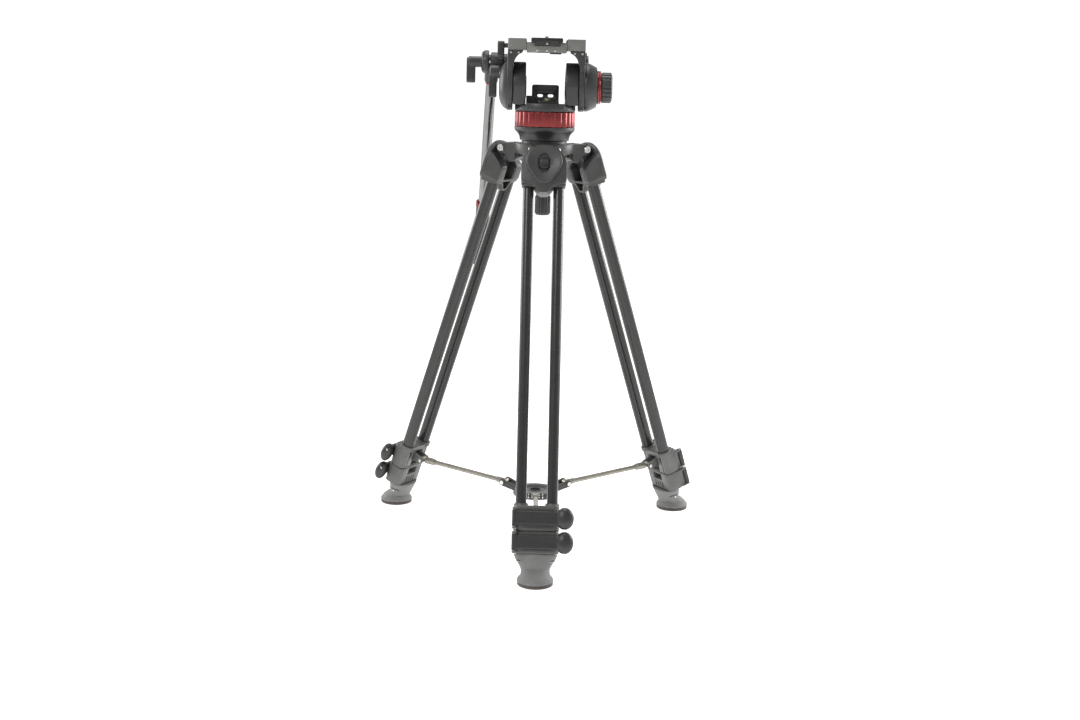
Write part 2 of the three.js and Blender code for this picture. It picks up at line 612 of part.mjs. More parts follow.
function barClamp() {
  const drum = [[0, -70], [16, -70], [16, -90], [12, -90.5], [12, -93]];
  const disc = [[19, -93.5], [19, -100], [16.5, -104.5], [12, -106], [0, -106]];
  const [, y, z] = BAR_PIVOT;
  const body = shifted(lathe([...drum, ...disc], 18, 'x'), 0, y, z);
  return cut(join(body, alongBar(4, 34, 11.5, 14)), alongBar(17, 50, BAR_RADIUS + 2 * GAP, 14));
}

const panBar = () => cut(alongBar(17.5, 300, BAR_RADIUS, 14), alongBar(10, 290, BAR_RADIUS - 1.5, 8));
const barRing = () => cut(alongBar(266, 274, 13, 16), alongBar(260, 280, BAR_RADIUS + 0.7, 12));

function barGrip() {
  const parts = [[274.3, 300, 12], [299, 380, 13.5], [379, 390, 15], [389, BAR_LENGTH, 12]];
  const body = join(...parts.map(([from, to, radius]) => alongBar(from, to, radius, 14)));
  return cut(body, alongBar(270, 300.4, BAR_RADIUS + 0.7, 12));
}

function barClampLever() {
  const hub = rod('x', 9, -128, -106.3, [45, 779], 14);
  const handle = plate('x', roundedRectangle(38, 52, 745, 784, 6), -130, -115, 3);
  return join(hub, handle);
}

[
  ['spreader_hub', spreaderHub(), PLASTIC],
  ['spider', spider(), CAST],
  ['half_ball', halfBall(), STEEL],
  ['cup_washer', cupWasher(), PLASTIC],
  ['bowl_clamp_knob', bowlKnob(), PLASTIC],
  ['pan_base', panBase(), BODY],
  ['pan_drag_ring', panDragRing(), RED],
  ['pan_floor', panFloor(), BODY],
  ['tower_left', tower(-1), BODY],
  ['tower_right', tower(1), BODY],
  ['level_housing', levelHousing(), PLASTIC],
  ['bubble_vial', bubbleVial(), VIAL],
  ['tilt_arm_left', tiltArm(-1), BODY],
  ['tilt_arm_right', tiltArm(1), BODY],
  ['tilt_dome_left', leftDome(), BODY],
  ['tilt_dome_right', rightDome(), BODY],
  ['tilt_drag_ring', tiltDragRing(), RED],
  ['tilt_drag_knob', tiltDragKnob(), PLASTIC],
  ['bridge', bridge(), BODY],
  ['sliding_plate', slidingPlate(), PLASTIC],
  ['camera_screw', cameraScrew(), STEEL],
  ['plate_lock_lever', plateLock(), PLASTIC],
  ['plate_release_button', releaseButton(), PLASTIC],
  ['tilt_lock_lever', tiltLock(), PLASTIC],
  ['bar_clamp', barClamp(), BODY],
  ['bar_clamp_lever', barClampLever(), PLASTIC],
  ['pan_bar', panBar(), TUBE],
  ['bar_ring', barRing(), RED],
  ['bar_grip', barGrip(), GRIP],
].forEach(([name, manifold, material]) => place(tripod, name, manifold, material));

// ---------- origin at the middle of the base ----------
tripod.updateMatrixWorld(true);
const extent = new THREE.Box3().setFromObject(tripod, true);
const middle = extent.getCenter(new THREE.Vector3());
tripod.position.set(-middle.x, -middle.y, -extent.min.z);

export default tripod;
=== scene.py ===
"""Video tripod with a fluid head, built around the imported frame.

Shapes are drawn in millimetres in one of a few sets of axes, and each set is placed in the row
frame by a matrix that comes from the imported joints:
  HEAD     the tripod's vertical axis, z up from the floor, lens side towards -y
  leg      x across the leg, y inward, z up along the tubes, from the hinge pin
  upright  the leg's azimuth only: x across, y towards the tripod's axis, z up from the floor
  bar      z down along the pan bar, from its pivot
"""
import json
from math import cos, pi, radians, sin, tau

import bmesh
import bpy
from mathutils import Matrix, Vector


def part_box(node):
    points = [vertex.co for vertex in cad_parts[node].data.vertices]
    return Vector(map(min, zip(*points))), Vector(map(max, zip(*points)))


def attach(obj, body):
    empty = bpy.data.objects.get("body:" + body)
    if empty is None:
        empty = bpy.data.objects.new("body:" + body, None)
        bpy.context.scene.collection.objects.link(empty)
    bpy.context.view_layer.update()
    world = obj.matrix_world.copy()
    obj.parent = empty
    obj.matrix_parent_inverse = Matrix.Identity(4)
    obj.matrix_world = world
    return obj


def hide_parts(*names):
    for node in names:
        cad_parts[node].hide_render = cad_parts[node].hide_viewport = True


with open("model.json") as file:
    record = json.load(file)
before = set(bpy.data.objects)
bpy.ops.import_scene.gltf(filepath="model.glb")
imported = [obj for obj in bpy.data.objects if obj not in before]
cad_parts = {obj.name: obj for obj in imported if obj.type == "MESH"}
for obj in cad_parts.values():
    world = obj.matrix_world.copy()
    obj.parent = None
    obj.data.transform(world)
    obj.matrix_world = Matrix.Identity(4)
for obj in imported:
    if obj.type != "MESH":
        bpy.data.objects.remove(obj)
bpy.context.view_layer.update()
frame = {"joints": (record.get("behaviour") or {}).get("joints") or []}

MM = 0.001
SCENE = bpy.context.scene
JOINTS = {joint["name"]: joint for joint in frame["joints"]}

# ---------- driving dimensions, in millimetres and degrees ----------
LEGS = (1, 2, 3)
TUBE_X = 24
TUBE_Y = 6.1
TUBE_WALL = 1.2
BORE_PLAY = 0.05
UPPER_TUBE = (8.5, 10.75)
MIDDLE_TUBE = (6.95, 9.2)
LOWER_TUBE = (5.4, 7.65)
CLAMP_TOP = -560
CLAMP_SPLIT = -599
CLAMP_END = -633
UPPER_LEVER_Z = (CLAMP_TOP + CLAMP_SPLIT) / 2
LOWER_LEVER_Z = (CLAMP_SPLIT + CLAMP_END) / 2
SPREADER_PIVOT = (30.4, -578.3)
LEVER_AXIS = (-33, -20.5)
LEG_LEAN = 19.25
PIN_OUT = 68
PIN_HEIGHT = 642
BOWL_TOP = 651
BOWL_RADIUS = 38.1
TILT_Z = 742.6
FLOOR_TOP = 713
PLATFORM_TOP = 817
VIAL = (2, 3)
# These are y and z of axes that run across the head.
TILT = (0, TILT_Z)
ROSETTE = (45, 779)
TILT_LOCK = (5, 763.5)
PLATE_LOCK = (5, 806)
PLATE_RELEASE = (10, 793)
# The stored pan bar's slant, towards the back and outwards.
BAR_BACK = 26
BAR_OUT = 3


# ---------- axes ----------
def pivot(joint):
    return Vector(JOINTS[joint]["pos_m"])


def axis_of(joint):
    return Vector(JOINTS[joint]["axis"]).normalized()


def axes_at(origin, x, z):
    y = z.cross(x)
    return Matrix.Translation(origin) @ Matrix((x, y, z)).transposed().to_4x4()


BALL_LOW, BALL_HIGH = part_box("half_ball")
CENTRE = Vector(((BALL_LOW.x + BALL_HIGH.x) / 2, (BALL_LOW.y + BALL_HIGH.y) / 2, 0))
HEAD = Matrix.Translation(CENTRE)
UP = Vector((0, 0, 1))
LEG = {n: axes_at(pivot(f"leg_{n}_spread"), axis_of(f"leg_{n}_spread"), -axis_of(f"leg_{n}_upper_slide"))
       for n in LEGS}
UPRIGHT = {n: axes_at(CENTRE, axis_of(f"leg_{n}_spread"), UP) for n in LEGS}
BAR_WAY = (Matrix.Rotation(radians(BAR_BACK), 3, "X") @ Matrix.Rotation(radians(BAR_OUT), 3, "Y")
           @ Vector((0, 0, -1)))
BAR = axes_at(pivot("bar_raise"), (Vector((1, 0, 0)) - BAR_WAY * BAR_WAY.x).normalized(), BAR_WAY)


def linked(name, data):
    """A new object in the scene."""
    thing = bpy.data.objects.new(name, data)
    SCENE.collection.objects.link(thing)
    return thing


# ---------- camera ----------
CAMERA_LENS = 50
CAMERA_SENSOR = 36
CAMERA_FROM_AXIS = Vector((-0.0258, -2.464, 0.767))
CAMERA_YAW = 0.0114
CAMERA_PITCH = 0.1904
CAMERA_ROLL = 0.0258


def add_camera():
    camera = linked("camera", bpy.data.cameras.new("camera"))
    camera.data.lens = CAMERA_LENS
    camera.data.sensor_width = CAMERA_SENSOR
    heading = Matrix.Rotation(-CAMERA_YAW, 4, "Z")
    tip = Matrix.Rotation(pi / 2 - CAMERA_PITCH, 4, "X")
    roll = Matrix.Rotation(CAMERA_ROLL, 4, "Z")
    camera.matrix_world = Matrix.Translation(CENTRE + CAMERA_FROM_AXIS) @ heading @ tip @ roll
    SCENE.camera = camera


add_camera()


# ---------- outlines ----------
def arc(u, v, radius, start, end, steps):
    angles = [radians(start + (end - start) * i / steps) for i in range(steps + 1)]
    return [(u + radius * cos(a), v + radius * sin(a)) for a in angles]


def ellipse(u, v, half_u, half_v, count):
    angles = [tau * i / count for i in range(count)]
    return [(u + half_u * cos(a), v + half_v * sin(a)) for a in angles]


def soft(points, radius, steps=3):
    """The same outline with its corners rounded off."""
    out = []
    for i, point in enumerate(points):
        here = Vector(point)
        back = Vector(points[i - 1]) - here
        on = Vector(points[(i + 1) % len(points)]) - here
        reach = min(radius, back.length * 0.45, on.length * 0.45)
        start, end = here + back.normalized() * reach, here + on.normalized() * reach
        for k in range(steps + 1):
            t = k / steps
            out.append(tuple((1 - t) ** 2 * start + 2 * t * (1 - t) * here + t * t * end))
    return out


def rectangle(u0, u1, v0, v1, radius=1.0, steps=4):
    corners = [(u1 - radius, v0 + radius, -90), (u1 - radius, v1 - radius, 0),
               (u0 + radius, v1 - radius, 90), (u0 + radius, v0 + radius, 180)]
    return [p for u, v, a in corners for p in arc(u, v, radius, a, a + 90, steps)]


def oval(size, x, grow):
    half_width, half_depth = size[0] + grow, size[1] + grow
    straight = half_depth - half_width
    return (arc(x, TUBE_Y + straight, half_width, 0, 180, 14)
            + arc(x, TUBE_Y - straight, half_width, 180, 360, 14))


def scallops(outer, depth, count, steps=8, sharpness=1.0):
    """A round outline with smooth hollows, as on a knurled ring."""
    points = []
    for i in range(count * steps):
        wave = abs(sin(pi * i / steps)) ** sharpness
        radius = outer - depth * (1 - wave)
        angle = tau * i / (count * steps)
        points.append((radius * cos(angle), radius * sin(angle)))
    return points


def mirrored(sign, a, b):
    """The span from a to b on the right of the head, or its mirror image on the left."""
    return (a, b) if sign > 0 else (-b, -a)


# ---------- closed meshes ----------
def as_mesh(bm):
    mesh = bpy.data.meshes.new("shell")
    bm.to_mesh(mesh)
    bm.free()
    return mesh


def facing_out(bm):
    bmesh.ops.recalc_face_normals(bm, faces=bm.faces)
    return as_mesh(bm)


def shell(points, faces):
    bm = bmesh.new()
    verts = [bm.verts.new(Vector(p) * MM) for p in points]
    for face in faces:
        bm.faces.new([verts[i] for i in face])
    return facing_out(bm)


PLACE = {"x": lambda u, v, w: (w, u, v), "y": lambda u, v, w: (u, w, v), "z": lambda u, v, w: (u, v, w)}


def prism(outline, axis, start, end, edge=0.6, steps=2):
    """An outline pushed along an axis, with the rims of both ends rounded off."""
    bm = bmesh.new()
    place = PLACE[axis]
    verts = [bm.verts.new(Vector(place(u, v, start)) * MM) for u, v in outline]
    base = bm.faces.new(verts)
    grown = bmesh.ops.extrude_face_region(bm, geom=[base])["geom"]
    top = [v for v in grown if isinstance(v, bmesh.types.BMVert)]
    bmesh.ops.translate(bm, verts=top, vec=Vector(place(0, 0, end - start)) * MM)
    bmesh.ops.recalc_face_normals(bm, faces=bm.faces)
    if edge:
        caps = [f for f in bm.faces if len(f.verts) == len(outline)]
        rims = list({e for f in caps for e in f.edges}) if len(outline) > 4 else list(bm.edges)
        bmesh.ops.bevel(bm, geom=rims, offset=edge * MM, segments=steps, affect="EDGES",
                        profile=0.5, clamp_overlap=True)
    return facing_out(bm)


def block(x0, x1, y0, y1, z0, z1, edge=0.5, steps=2):
    return prism([(x0, y0), (x1, y0), (x1, y1), (x0, y1)], "z", z0, z1, edge, steps)


def loft(rings, closed=False):
    """A skin over rings of the same number of points; closed joins the last to the first."""
    count = len(rings[0])
    points = [p for ring in rings for p in ring]
    faces = []
    for k in range(len(rings) if closed else len(rings) - 1):
        low, high = k * count, (k + 1) % len(rings) * count
        for i in range(count):
            j = (i + 1) % count
            faces.append((low + i, low + j, high + j, high + i))
    if not closed:
        faces.append(tuple(range(count)))
        faces.append(tuple(range(len(points) - count, len(points))))
    return shell(points, faces)


def lathe(profile, axis="z", sides=72, centre=(0, 0)):
    """A profile of (radius, height) turned about an axis; it starts and ends on it, or closes."""
    place = PLACE[axis]
    points, rings = [], []
    for radius, height in profile:
        if radius < 1e-6:
            rings.append([len(points)])
            points.append(place(centre[0], centre[1], height))
            continue
        rings.append(list(range(len(points), len(points) + sides)))
        for i in range(sides):
            a = tau * i / sides
            points.append(place(centre[0] + radius * cos(a), centre[1] + radius * sin(a), height))
    faces = []
    hollow = profile[0][0] > 1e-6
    for k in range(len(rings) if hollow else len(rings) - 1):
        low, high = rings[k], rings[(k + 1) % len(rings)]
        for i in range(sides):
            j = (i + 1) % sides
            corners = [low[i % len(low)], low[j % len(low)], high[j % len(high)], high[i % len(high)]]
            faces.append(tuple(dict.fromkeys(corners)))
    return shell(points, faces)


def cylinder(radius, start, end, axis="z", sides=72, centre=(0, 0)):
    return lathe([(0, start), (radius, start), (radius, end), (0, end)], axis, sides, centre)


def sided(sign, profile, sides, centre=(0, 0)):
    """A profile turned about an axis across the object, on its right, or mirrored on its left."""
    return lathe([(radius, sign * x) for radius, x in profile], "x", sides, centre)


def offset(x, y, z):
    return Matrix.Translation(Vector((x, y, z)) * MM)


def moved(mesh, matrix):
    mesh.transform(matrix)
    return mesh


def join(*meshes):
    bm = bmesh.new()
    for mesh in meshes:
        bm.from_mesh(mesh)
    return as_mesh(bm)


def applied(work, *tools):
    """The mesh of a work object with its modifiers applied; the objects are removed."""
    view = bpy.context.evaluated_depsgraph_get()
    mesh = bpy.data.meshes.new_from_object(work.evaluated_get(view))
    for thing in (work, *tools):
        bpy.data.objects.remove(thing)
    return mesh


def combined(first, others, operation):
    work = linked("work", first)
    tools = [linked("work", mesh) for mesh in others]
    for tool in tools:
        step = work.modifiers.new("step", "BOOLEAN")
        step.operation = operation
        step.object = tool
        step.solver = "MANIFOLD"
    return applied(work, *tools)


def union(first, *others):
    return combined(first, others, "UNION")


def cut(first, *others):
    return combined(first, others, "DIFFERENCE")


def softened(mesh, width, angle=38):
    """Rounds off the sharp edges that joins and cuts leave."""
    work = linked("work", mesh)
    bevel = work.modifiers.new("bevel", "BEVEL")
    bevel.width = width * MM
    bevel.segments = 2
    bevel.limit_method = "ANGLE"
    bevel.angle_limit = radians(angle)
    return applied(work)


def melted(mesh, voxel, passes):
    """One smooth skin over overlapping shells, as a moulding or a casting has."""
    work = linked("work", mesh)
    remesh = work.modifiers.new("remesh", "REMESH")
    remesh.mode = "VOXEL"
    remesh.voxel_size = voxel * MM
    smooth = work.modifiers.new("smooth", "SMOOTH")
    smooth.factor = 0.5
    smooth.iterations = passes
    return applied(work)


SOCKET_SHARE = 0.45


def screw_head(radius, height):
    """A socket screw's head on the plane z = 0, pointing up."""
    profile = [(0, 0), (radius, 0), (radius, height * 0.75), (radius * 0.85, height), (0, height)]
    hexagon = ellipse(0, 0, radius * SOCKET_SHARE, radius * SOCKET_SHARE, 6)
    return cut(lathe(profile, sides=32), prism(hexagon, "z", height * 0.35, height * 2, 0))


FACING = {"+x": Matrix.Rotation(pi / 2, 4, "Y"), "-x": Matrix.Rotation(-pi / 2, 4, "Y"),
          "-y": Matrix.Rotation(pi / 2, 4, "X"), "+z": Matrix.Identity(4)}


def screws(radius, height, facing, places):
    return join(*[moved(screw_head(radius, height), offset(*place) @ FACING[facing]) for place in places])


# ---------- materials ----------
class Nodes:
    def __init__(self, name):
        self.material = bpy.data.materials.new(name)
        self.material.use_nodes = True
        self.tree = self.material.node_tree
        self.tree.nodes.clear()

    def add(self, kind, settings=None, **inputs):
        node = self.tree.nodes.new("ShaderNode" + kind)
        for key, value in (settings or {}).items():
            setattr(node, key, value)
        for key, value in inputs.items():
            self.feed(node, key.replace("_", " "), value)
        return node

    def feed(self, node, key, value):
        if isinstance(value, bpy.types.NodeSocket):
            self.tree.links.new(value, node.inputs[key])
        else:
            node.inputs[key].default_value = value

    def maths(self, kind, operation, first, second):
        node = self.add(kind, {"operation": operation})
        self.tree.links.new(first, node.inputs[0])
        self.tree.links.new(second, node.inputs[1])
        return node.outputs["Value"]


GRAIN_DEPTH = 0.15
# Width of the lighter band along edges, which is partly worn paint and partly a painted highlight.
WORN_AND_LIT_EDGE_WIDTH = 0.5


def rgba(colour, by=1.0):
    return (*[min(1.0, c * by) for c in colour], 1.0)


def surface(name, colour, roughness, metallic=0.0, grain=1800, bump=0.15, stretch=(1, 1, 1), mottle=0.12,
            rough_spread=0.08, wear_and_highlight=0.0, wear_and_highlight_colour=(0.4, 0.4, 0.39), sheen=0.0, coat=0.0, specular=0.5,
            glow=0.0):
    """Paint, plastic, metal or rubber: fine grain, uneven gloss, slow colour change, and lighter edges that
    are partly rubbed wear and partly painted highlight.
    """
    nodes = Nodes(name)
    place = nodes.add("TexCoord").outputs["Object"]
    along = nodes.add("Mapping", Vector=place, Scale=stretch).outputs["Vector"]
    fine = nodes.add("TexNoise", Vector=along, Scale=grain, Detail=6.0, Roughness=0.6).outputs["Fac"]
    broad = nodes.add("TexNoise", Vector=place, Scale=45.0, Detail=4.0, Roughness=0.55).outputs["Fac"]
    speck = nodes.add("TexNoise", Vector=along, Scale=grain * 0.22, Detail=3.0, Roughness=0.7).outputs["Fac"]
    spread = nodes.add("MapRange", Value=broad, From_Min=0.3, From_Max=0.7)
    paint = nodes.add("MixRGB", Fac=spread.outputs["Result"], Color1=rgba(colour, 1 - mottle),
                      Color2=rgba(colour, 1 + mottle)).outputs["Color"]
    dust = nodes.add("MapRange", Value=speck, From_Min=0.62, From_Max=0.8, To_Max=mottle * 1.5)
    paint = nodes.add("MixRGB", Fac=dust.outputs["Result"], Color1=paint,
                      Color2=rgba(colour, 1.8)).outputs["Color"]
    # Edges are lightened in patches towards the edge colour: partly worn paint, partly a painted highlight
    # along the rims.
    if wear_and_highlight:
        edge = nodes.add("Bevel", {"samples": 4}, Radius=WORN_AND_LIT_EDGE_WIDTH * MM).outputs["Normal"]
        flat = nodes.add("NewGeometry").outputs["Normal"]
        facing = nodes.maths("VectorMath", "DOT_PRODUCT", edge, flat)
        rubbed_and_lit_edges = nodes.add("MapRange", Value=facing, From_Min=0.99, From_Max=0.9)
        patchy = nodes.add("MapRange", Value=speck, From_Min=0.35, From_Max=0.6, To_Max=wear_and_highlight)
        worn_and_highlit = nodes.maths("Math", "MULTIPLY", rubbed_and_lit_edges.outputs["Result"], patchy.outputs["Result"])
        paint = nodes.add("MixRGB", Fac=worn_and_highlit, Color1=paint, Color2=rgba(wear_and_highlight_colour)).outputs["Color"]
    gloss = nodes.add("MapRange", Value=speck, From_Min=0.3, From_Max=0.7,
                      To_Min=max(0.03, roughness - rough_spread), To_Max=roughness + rough_spread)
    height = nodes.add("Bump", Strength=bump, Distance=GRAIN_DEPTH * MM, Height=fine)
    shader = nodes.add("BsdfPrincipled", Base_Color=paint, Metallic=metallic,
                       Roughness=gloss.outputs["Result"], Normal=height.outputs["Normal"])
    shader.inputs["Sheen Weight"].default_value = sheen
    shader.inputs["Coat Weight"].default_value = coat
    shader.inputs["Specular IOR Level"].default_value = specular
    shader.inputs["Emission Color"].default_value = (1, 1, 1, 1)
    shader.inputs["Emission Strength"].default_value = glow
    nodes.add("OutputMaterial", Surface=shader.outputs["BSDF"])
    return nodes.material


def clear_fluid():
    nodes = Nodes("vial_fluid")
    place = nodes.add("TexCoord").outputs["Object"]
    swirl = nodes.add("TexNoise", Vector=place, Scale=400.0, Detail=2.0).outputs["Fac"]
    tint = nodes.add("MixRGB", Fac=swirl, Color1=(0.3, 0.34, 0.06, 1), Color2=(0.45, 0.5, 0.12, 1))
    shader = nodes.add("BsdfPrincipled", Base_Color=tint.outputs["Color"], Roughness=0.05)
    shader.inputs["Transmission Weight"].default_value = 0.6
    shader.inputs["Coat Weight"].default_value = 0.6
    nodes.add("OutputMaterial", Surface=shader.outputs["BSDF"])
    return nodes.material


ALONG = (1, 1, 0.02)
# In each finish, the edge colour and its amount stand partly for worn paint and partly for a painted
# highlight.
FINISHES = {
    "dark_casting": dict(colour=(0.04, 0.04, 0.039), roughness=0.42, metallic=0.1, grain=1500, bump=0.35,
                         wear_and_highlight=0.5),
    "leg_casting": dict(colour=(0.1, 0.1, 0.097), roughness=0.45, metallic=0.15, grain=1500, bump=0.35,
                        wear_and_highlight=0.5),
    "head_casting": dict(colour=(0.024, 0.024, 0.024), roughness=0.38, metallic=0.1, grain=2200, bump=0.3,
                         wear_and_highlight=0.4),
    "platform_casting": dict(colour=(0.15, 0.153, 0.142), roughness=0.4, metallic=0.3, grain=2200, bump=0.3,
                             wear_and_highlight=0.4),
    "black_plastic": dict(colour=(0.022, 0.022, 0.022), roughness=0.36, grain=1300, bump=0.4, wear_and_highlight=0.15,
                          wear_and_highlight_colour=(0.14, 0.14, 0.14)),
    "anodised_tube": dict(colour=(0.02, 0.02, 0.0192), roughness=0.24, metallic=0.2, grain=2600,
                          stretch=ALONG, mottle=0.15, rough_spread=0.06, specular=0.6),
    "black_anodised": dict(colour=(0.016, 0.016, 0.0165), roughness=0.34, metallic=0.3, grain=2400, bump=0.2,
                           wear_and_highlight=0.6),
    "bright_steel": dict(colour=(0.55, 0.55, 0.53), roughness=0.24, metallic=1.0, mottle=0.08),
    # The pink edge colour here is partly wear and partly a painted highlight.
    "red_anodised": dict(colour=(0.2, 0.03, 0.03), roughness=0.22, metallic=0.7, grain=2600,
                         stretch=(1, 1, 0.05), mottle=0.2, wear_and_highlight=0.6, wear_and_highlight_colour=(0.65, 0.3, 0.3)),
    "grey_rubber": dict(colour=(0.155, 0.157, 0.152), roughness=0.65, grain=900, bump=0.45, sheen=0.1,
                        mottle=0.1),
    "sole_rubber": dict(colour=(0.07, 0.058, 0.052), roughness=0.75, grain=900, bump=0.5, sheen=0.1),
    "grip_rubber": dict(colour=(0.018, 0.018, 0.018), roughness=0.6, grain=1100, bump=0.5, sheen=0.1),
    "spreader_metal": dict(colour=(0.27, 0.255, 0.22), roughness=0.32, metallic=0.8, grain=2200, bump=0.2,
                           stretch=ALONG, wear_and_highlight=0.3, wear_and_highlight_colour=(0.6, 0.58, 0.54)),
    "ball_metal": dict(colour=(0.03, 0.03, 0.03), roughness=0.4, metallic=0.3, grain=2200, bump=0.2,
                       wear_and_highlight=0.3),
    "bar_aluminium": dict(colour=(0.2, 0.2, 0.2), roughness=0.16, metallic=0.9, grain=2600, bump=0.12,
                          stretch=ALONG, mottle=0.08, coat=0.2),
}
MATERIALS = {name: surface(name, **finish) for name, finish in FINISHES.items()}
MATERIALS["vial_fluid"] = clear_fluid()
# The grain of these runs along the piece's own z, so such a piece keeps its own axes.
BRUSHED = {"anodised_tube", "spreader_metal", "bar_aluminium", "red_anodised"}
CREASE = 36


def piece(name, mesh, material, body, stands_for="", at=HEAD):
    own_axes = material in BRUSHED
    mesh = mesh.copy()
    if not own_axes:
        moved(mesh, at)
    part = linked(name, mesh)
    mesh.materials.clear()
    mesh.materials.append(MATERIALS[material])
    mesh.shade_smooth()
    mesh.set_sharp_from_angle(angle=radians(CREASE))
    if own_axes:
        part.matrix_world = at
    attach(part, body)
    if stands_for:
        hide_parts(stands_for)


def on_legs(name, mesh, material, body, stands_for="", axes=LEG):
    """The same piece on each leg; its name and the node it stands for follow the leg's own name."""
    for n in LEGS:
        node = f"leg_{n}_{stands_for}" if stands_for else ""
        piece(f"leg_{n}_{name}", mesh, material, body.format(n), node, axes[n])


# ---------- legs ----------
def tube_pair(size, top, bottom):
    """Two hollow oval tubes with broken edges."""
    tubes = []
    for x in (-TUBE_X, TUBE_X):
        steps = [(-0.4, top), (0, top - 0.4), (0, bottom + 0.4), (-0.4, bottom), (-TUBE_WALL, bottom),
                 (-TUBE_WALL, top)]
        tubes.append(loft([[(u, v, z) for u, v in oval(size, x, grow)] for grow, z in steps], closed=True))
    return join(*tubes)


def casting_outline():
    return rectangle(-35, 35, -15, 16.5, 10, 8)


def ovals(size, grow, z0, z1, edge):
    return [prism(oval(size, x, grow), "z", z0, z1, edge) for x in (-TUBE_X, TUBE_X)]


def bores(size, z0, z1):
    return ovals(size, BORE_PLAY, z0, z1, 0)


def lug_outline():
    x, y = LEVER_AXIS
    return soft([(x - 4, -9), (x - 4, y - 2), (x - 2, y - 4), (x + 2, y - 4), (x + 5, y), (x + 5, -9)], 2)


def lever_lugs(middle):
    """Two ears for the lever's pin, and the block they stand on, which fills the rounded corner."""
    lugs = [prism(lug_outline(), "z", z - 1.5, z + 1.5, 0.5) for z in (middle - 14.8, middle + 14.8)]
    corner = soft([(-34.8, 0), (-34.8, -15.2), (-24, -15.2), (-24, 0)], 1.2)
    return [*lugs, prism(corner, "z", middle - 15.9, middle + 15.9, 0.8)]


def upper_casting():
    """Clamp casting at the foot of the upper tubes, with the spreader's bracket on its inner side."""
    body = prism(casting_outline(), "z", CLAMP_SPLIT + 0.2, CLAMP_TOP, 1.4, 3)
    collars = ovals(UPPER_TUBE, 2.6, CLAMP_TOP - 4, CLAMP_TOP + 3.2, 0.8)
    body = union(body, *collars, *lever_lugs(UPPER_LEVER_Z))
    panel = prism(rectangle(-20, 27, -593, -566, 4), "y", -20, -14.5, 0)
    pocket = prism(rectangle(-12.6, 12.6, -596, -567, 2), "y", 2, 30, 0)
    groove = prism(rectangle(-40, 40, -597, -595.8, 0.3), "y", 15.6, 30, 0)
    body = cut(body, panel, pocket, groove, *bores(UPPER_TUBE, -640, -540))
    return softened(body, 0.35)


def spreader_bracket():
    y, z = SPREADER_PIVOT
    ear = soft([(7, -590), (22, z - 6), *arc(y, z, 6, -90, 90, 12), (22, z + 7), (7, -567)], 1.2, 2)
    ears = [prism(ear, "x", x, x + 4, 0.7) for x in (-11, 7)]
    ears.append(prism(soft([(3, -592), (9, -592), (9, -589), (3, -589)], 0.8), "x", -11, 11, 0.3))
    pin = cylinder(2.5, -11.2, 11.2, "x", 28, (y, z))
    heads = [screws(3.4, 1.4, facing, [(x, y, z)]) for facing, x in (("+x", 11), ("-x", -11))]
    return join(*ears), join(pin, *heads)


def clamp_works():
    """What shows inside the pocket: the clamp's rocker, its bolt and a nut."""
    rocker = prism(soft([(-9, -586), (-2, -570), (4, -570), (6, -575), (-3, -590)], 1.5), "y", 7, 12, 0.6)
    bolt = cylinder(1.6, -11.5, 11.5, "x", 20, (9, -577))
    nut = prism(ellipse(8, -587, 3.4, 3.4, 6), "y", 7, 12.5, 0.3)
    return rocker, join(bolt, nut)


def lower_casting():
    """Clamp casting at the foot of the middle tubes, with a slotted window on its inner side."""
    body = prism(casting_outline(), "z", CLAMP_END, CLAMP_SPLIT - 0.5, 1.4, 3)
    body = union(body, *lever_lugs(LOWER_LEVER_Z))
    panel = prism(rectangle(-20, 27, -627, -605, 4), "y", -20, -14.5, 0)
    pocket = prism(rectangle(-12.6, 12.6, -615, -602, 2), "y", 2, 30, 0)
    slots = [prism(rectangle(x - 1.7, x + 1.7, -630, -618, 1.2), "y", 6, 30, 0)
             for x in (-10.2, -3.4, 3.4, 10.2)]
    body = cut(body, panel, pocket, *slots, *bores(MIDDLE_TUBE, -660, -590))
    return softened(body, 0.35)


def flip_lever(middle):
    """Flip lever: a hinge barrel, a bar across the casting and a thumb lobe, in one moulding."""
    barrel = cylinder(4.4, middle - 12.9, middle + 12.9, "z", 32, LEVER_AXIS)
    bar = prism(rectangle(LEVER_AXIS[0], 46, -24.2, -16.8, 3, 6), "z", middle - 10.6, middle + 10.6, 2, 3)
    around = [pi * i / 16 for i in range(1, 16)]
    lobe = loft([[(u, v, middle - 17 * cos(a)) for u, v in ellipse(43, -19.5, 14 * sin(a), 9 * sin(a), 32)]
                 for a in around])
    hole = cylinder(1.9, middle - 20, middle + 20, "z", 24, LEVER_AXIS)
    return cut(melted(join(barrel, bar, lobe), 0.8, 5), hole)


def lever_pin(middle):
    """A pin with a head at each end."""
    end, neck, head, shaft = 17.4, 16.2, 2.6, 1.5
    profile = [(0, -end), (head, -end), (head, -neck), (shaft, -neck), (shaft, neck), (head, neck),
               (head, end), (0, end)]
    return lathe([(r, middle + z) for r, z in profile], "z", 24, LEVER_AXIS)


def egg(scale, y):
    ring = []
    for i in range(72):
        a = tau * i / 72
        low = max(0.0, -sin(a))
        x = 29 * cos(a) * (1 - 0.32 * low ** 1.3)
        z = -22 + sin(a) * (36 if low else 27) * scale
        ring.append((x * scale, y, z))
    return ring


def shoulder_skirt():
    half = [(36, -50), (33, -56), (17, -58), (11, -66), (6, -71)]
    return [(-x, z) for x, z in half] + half[::-1]


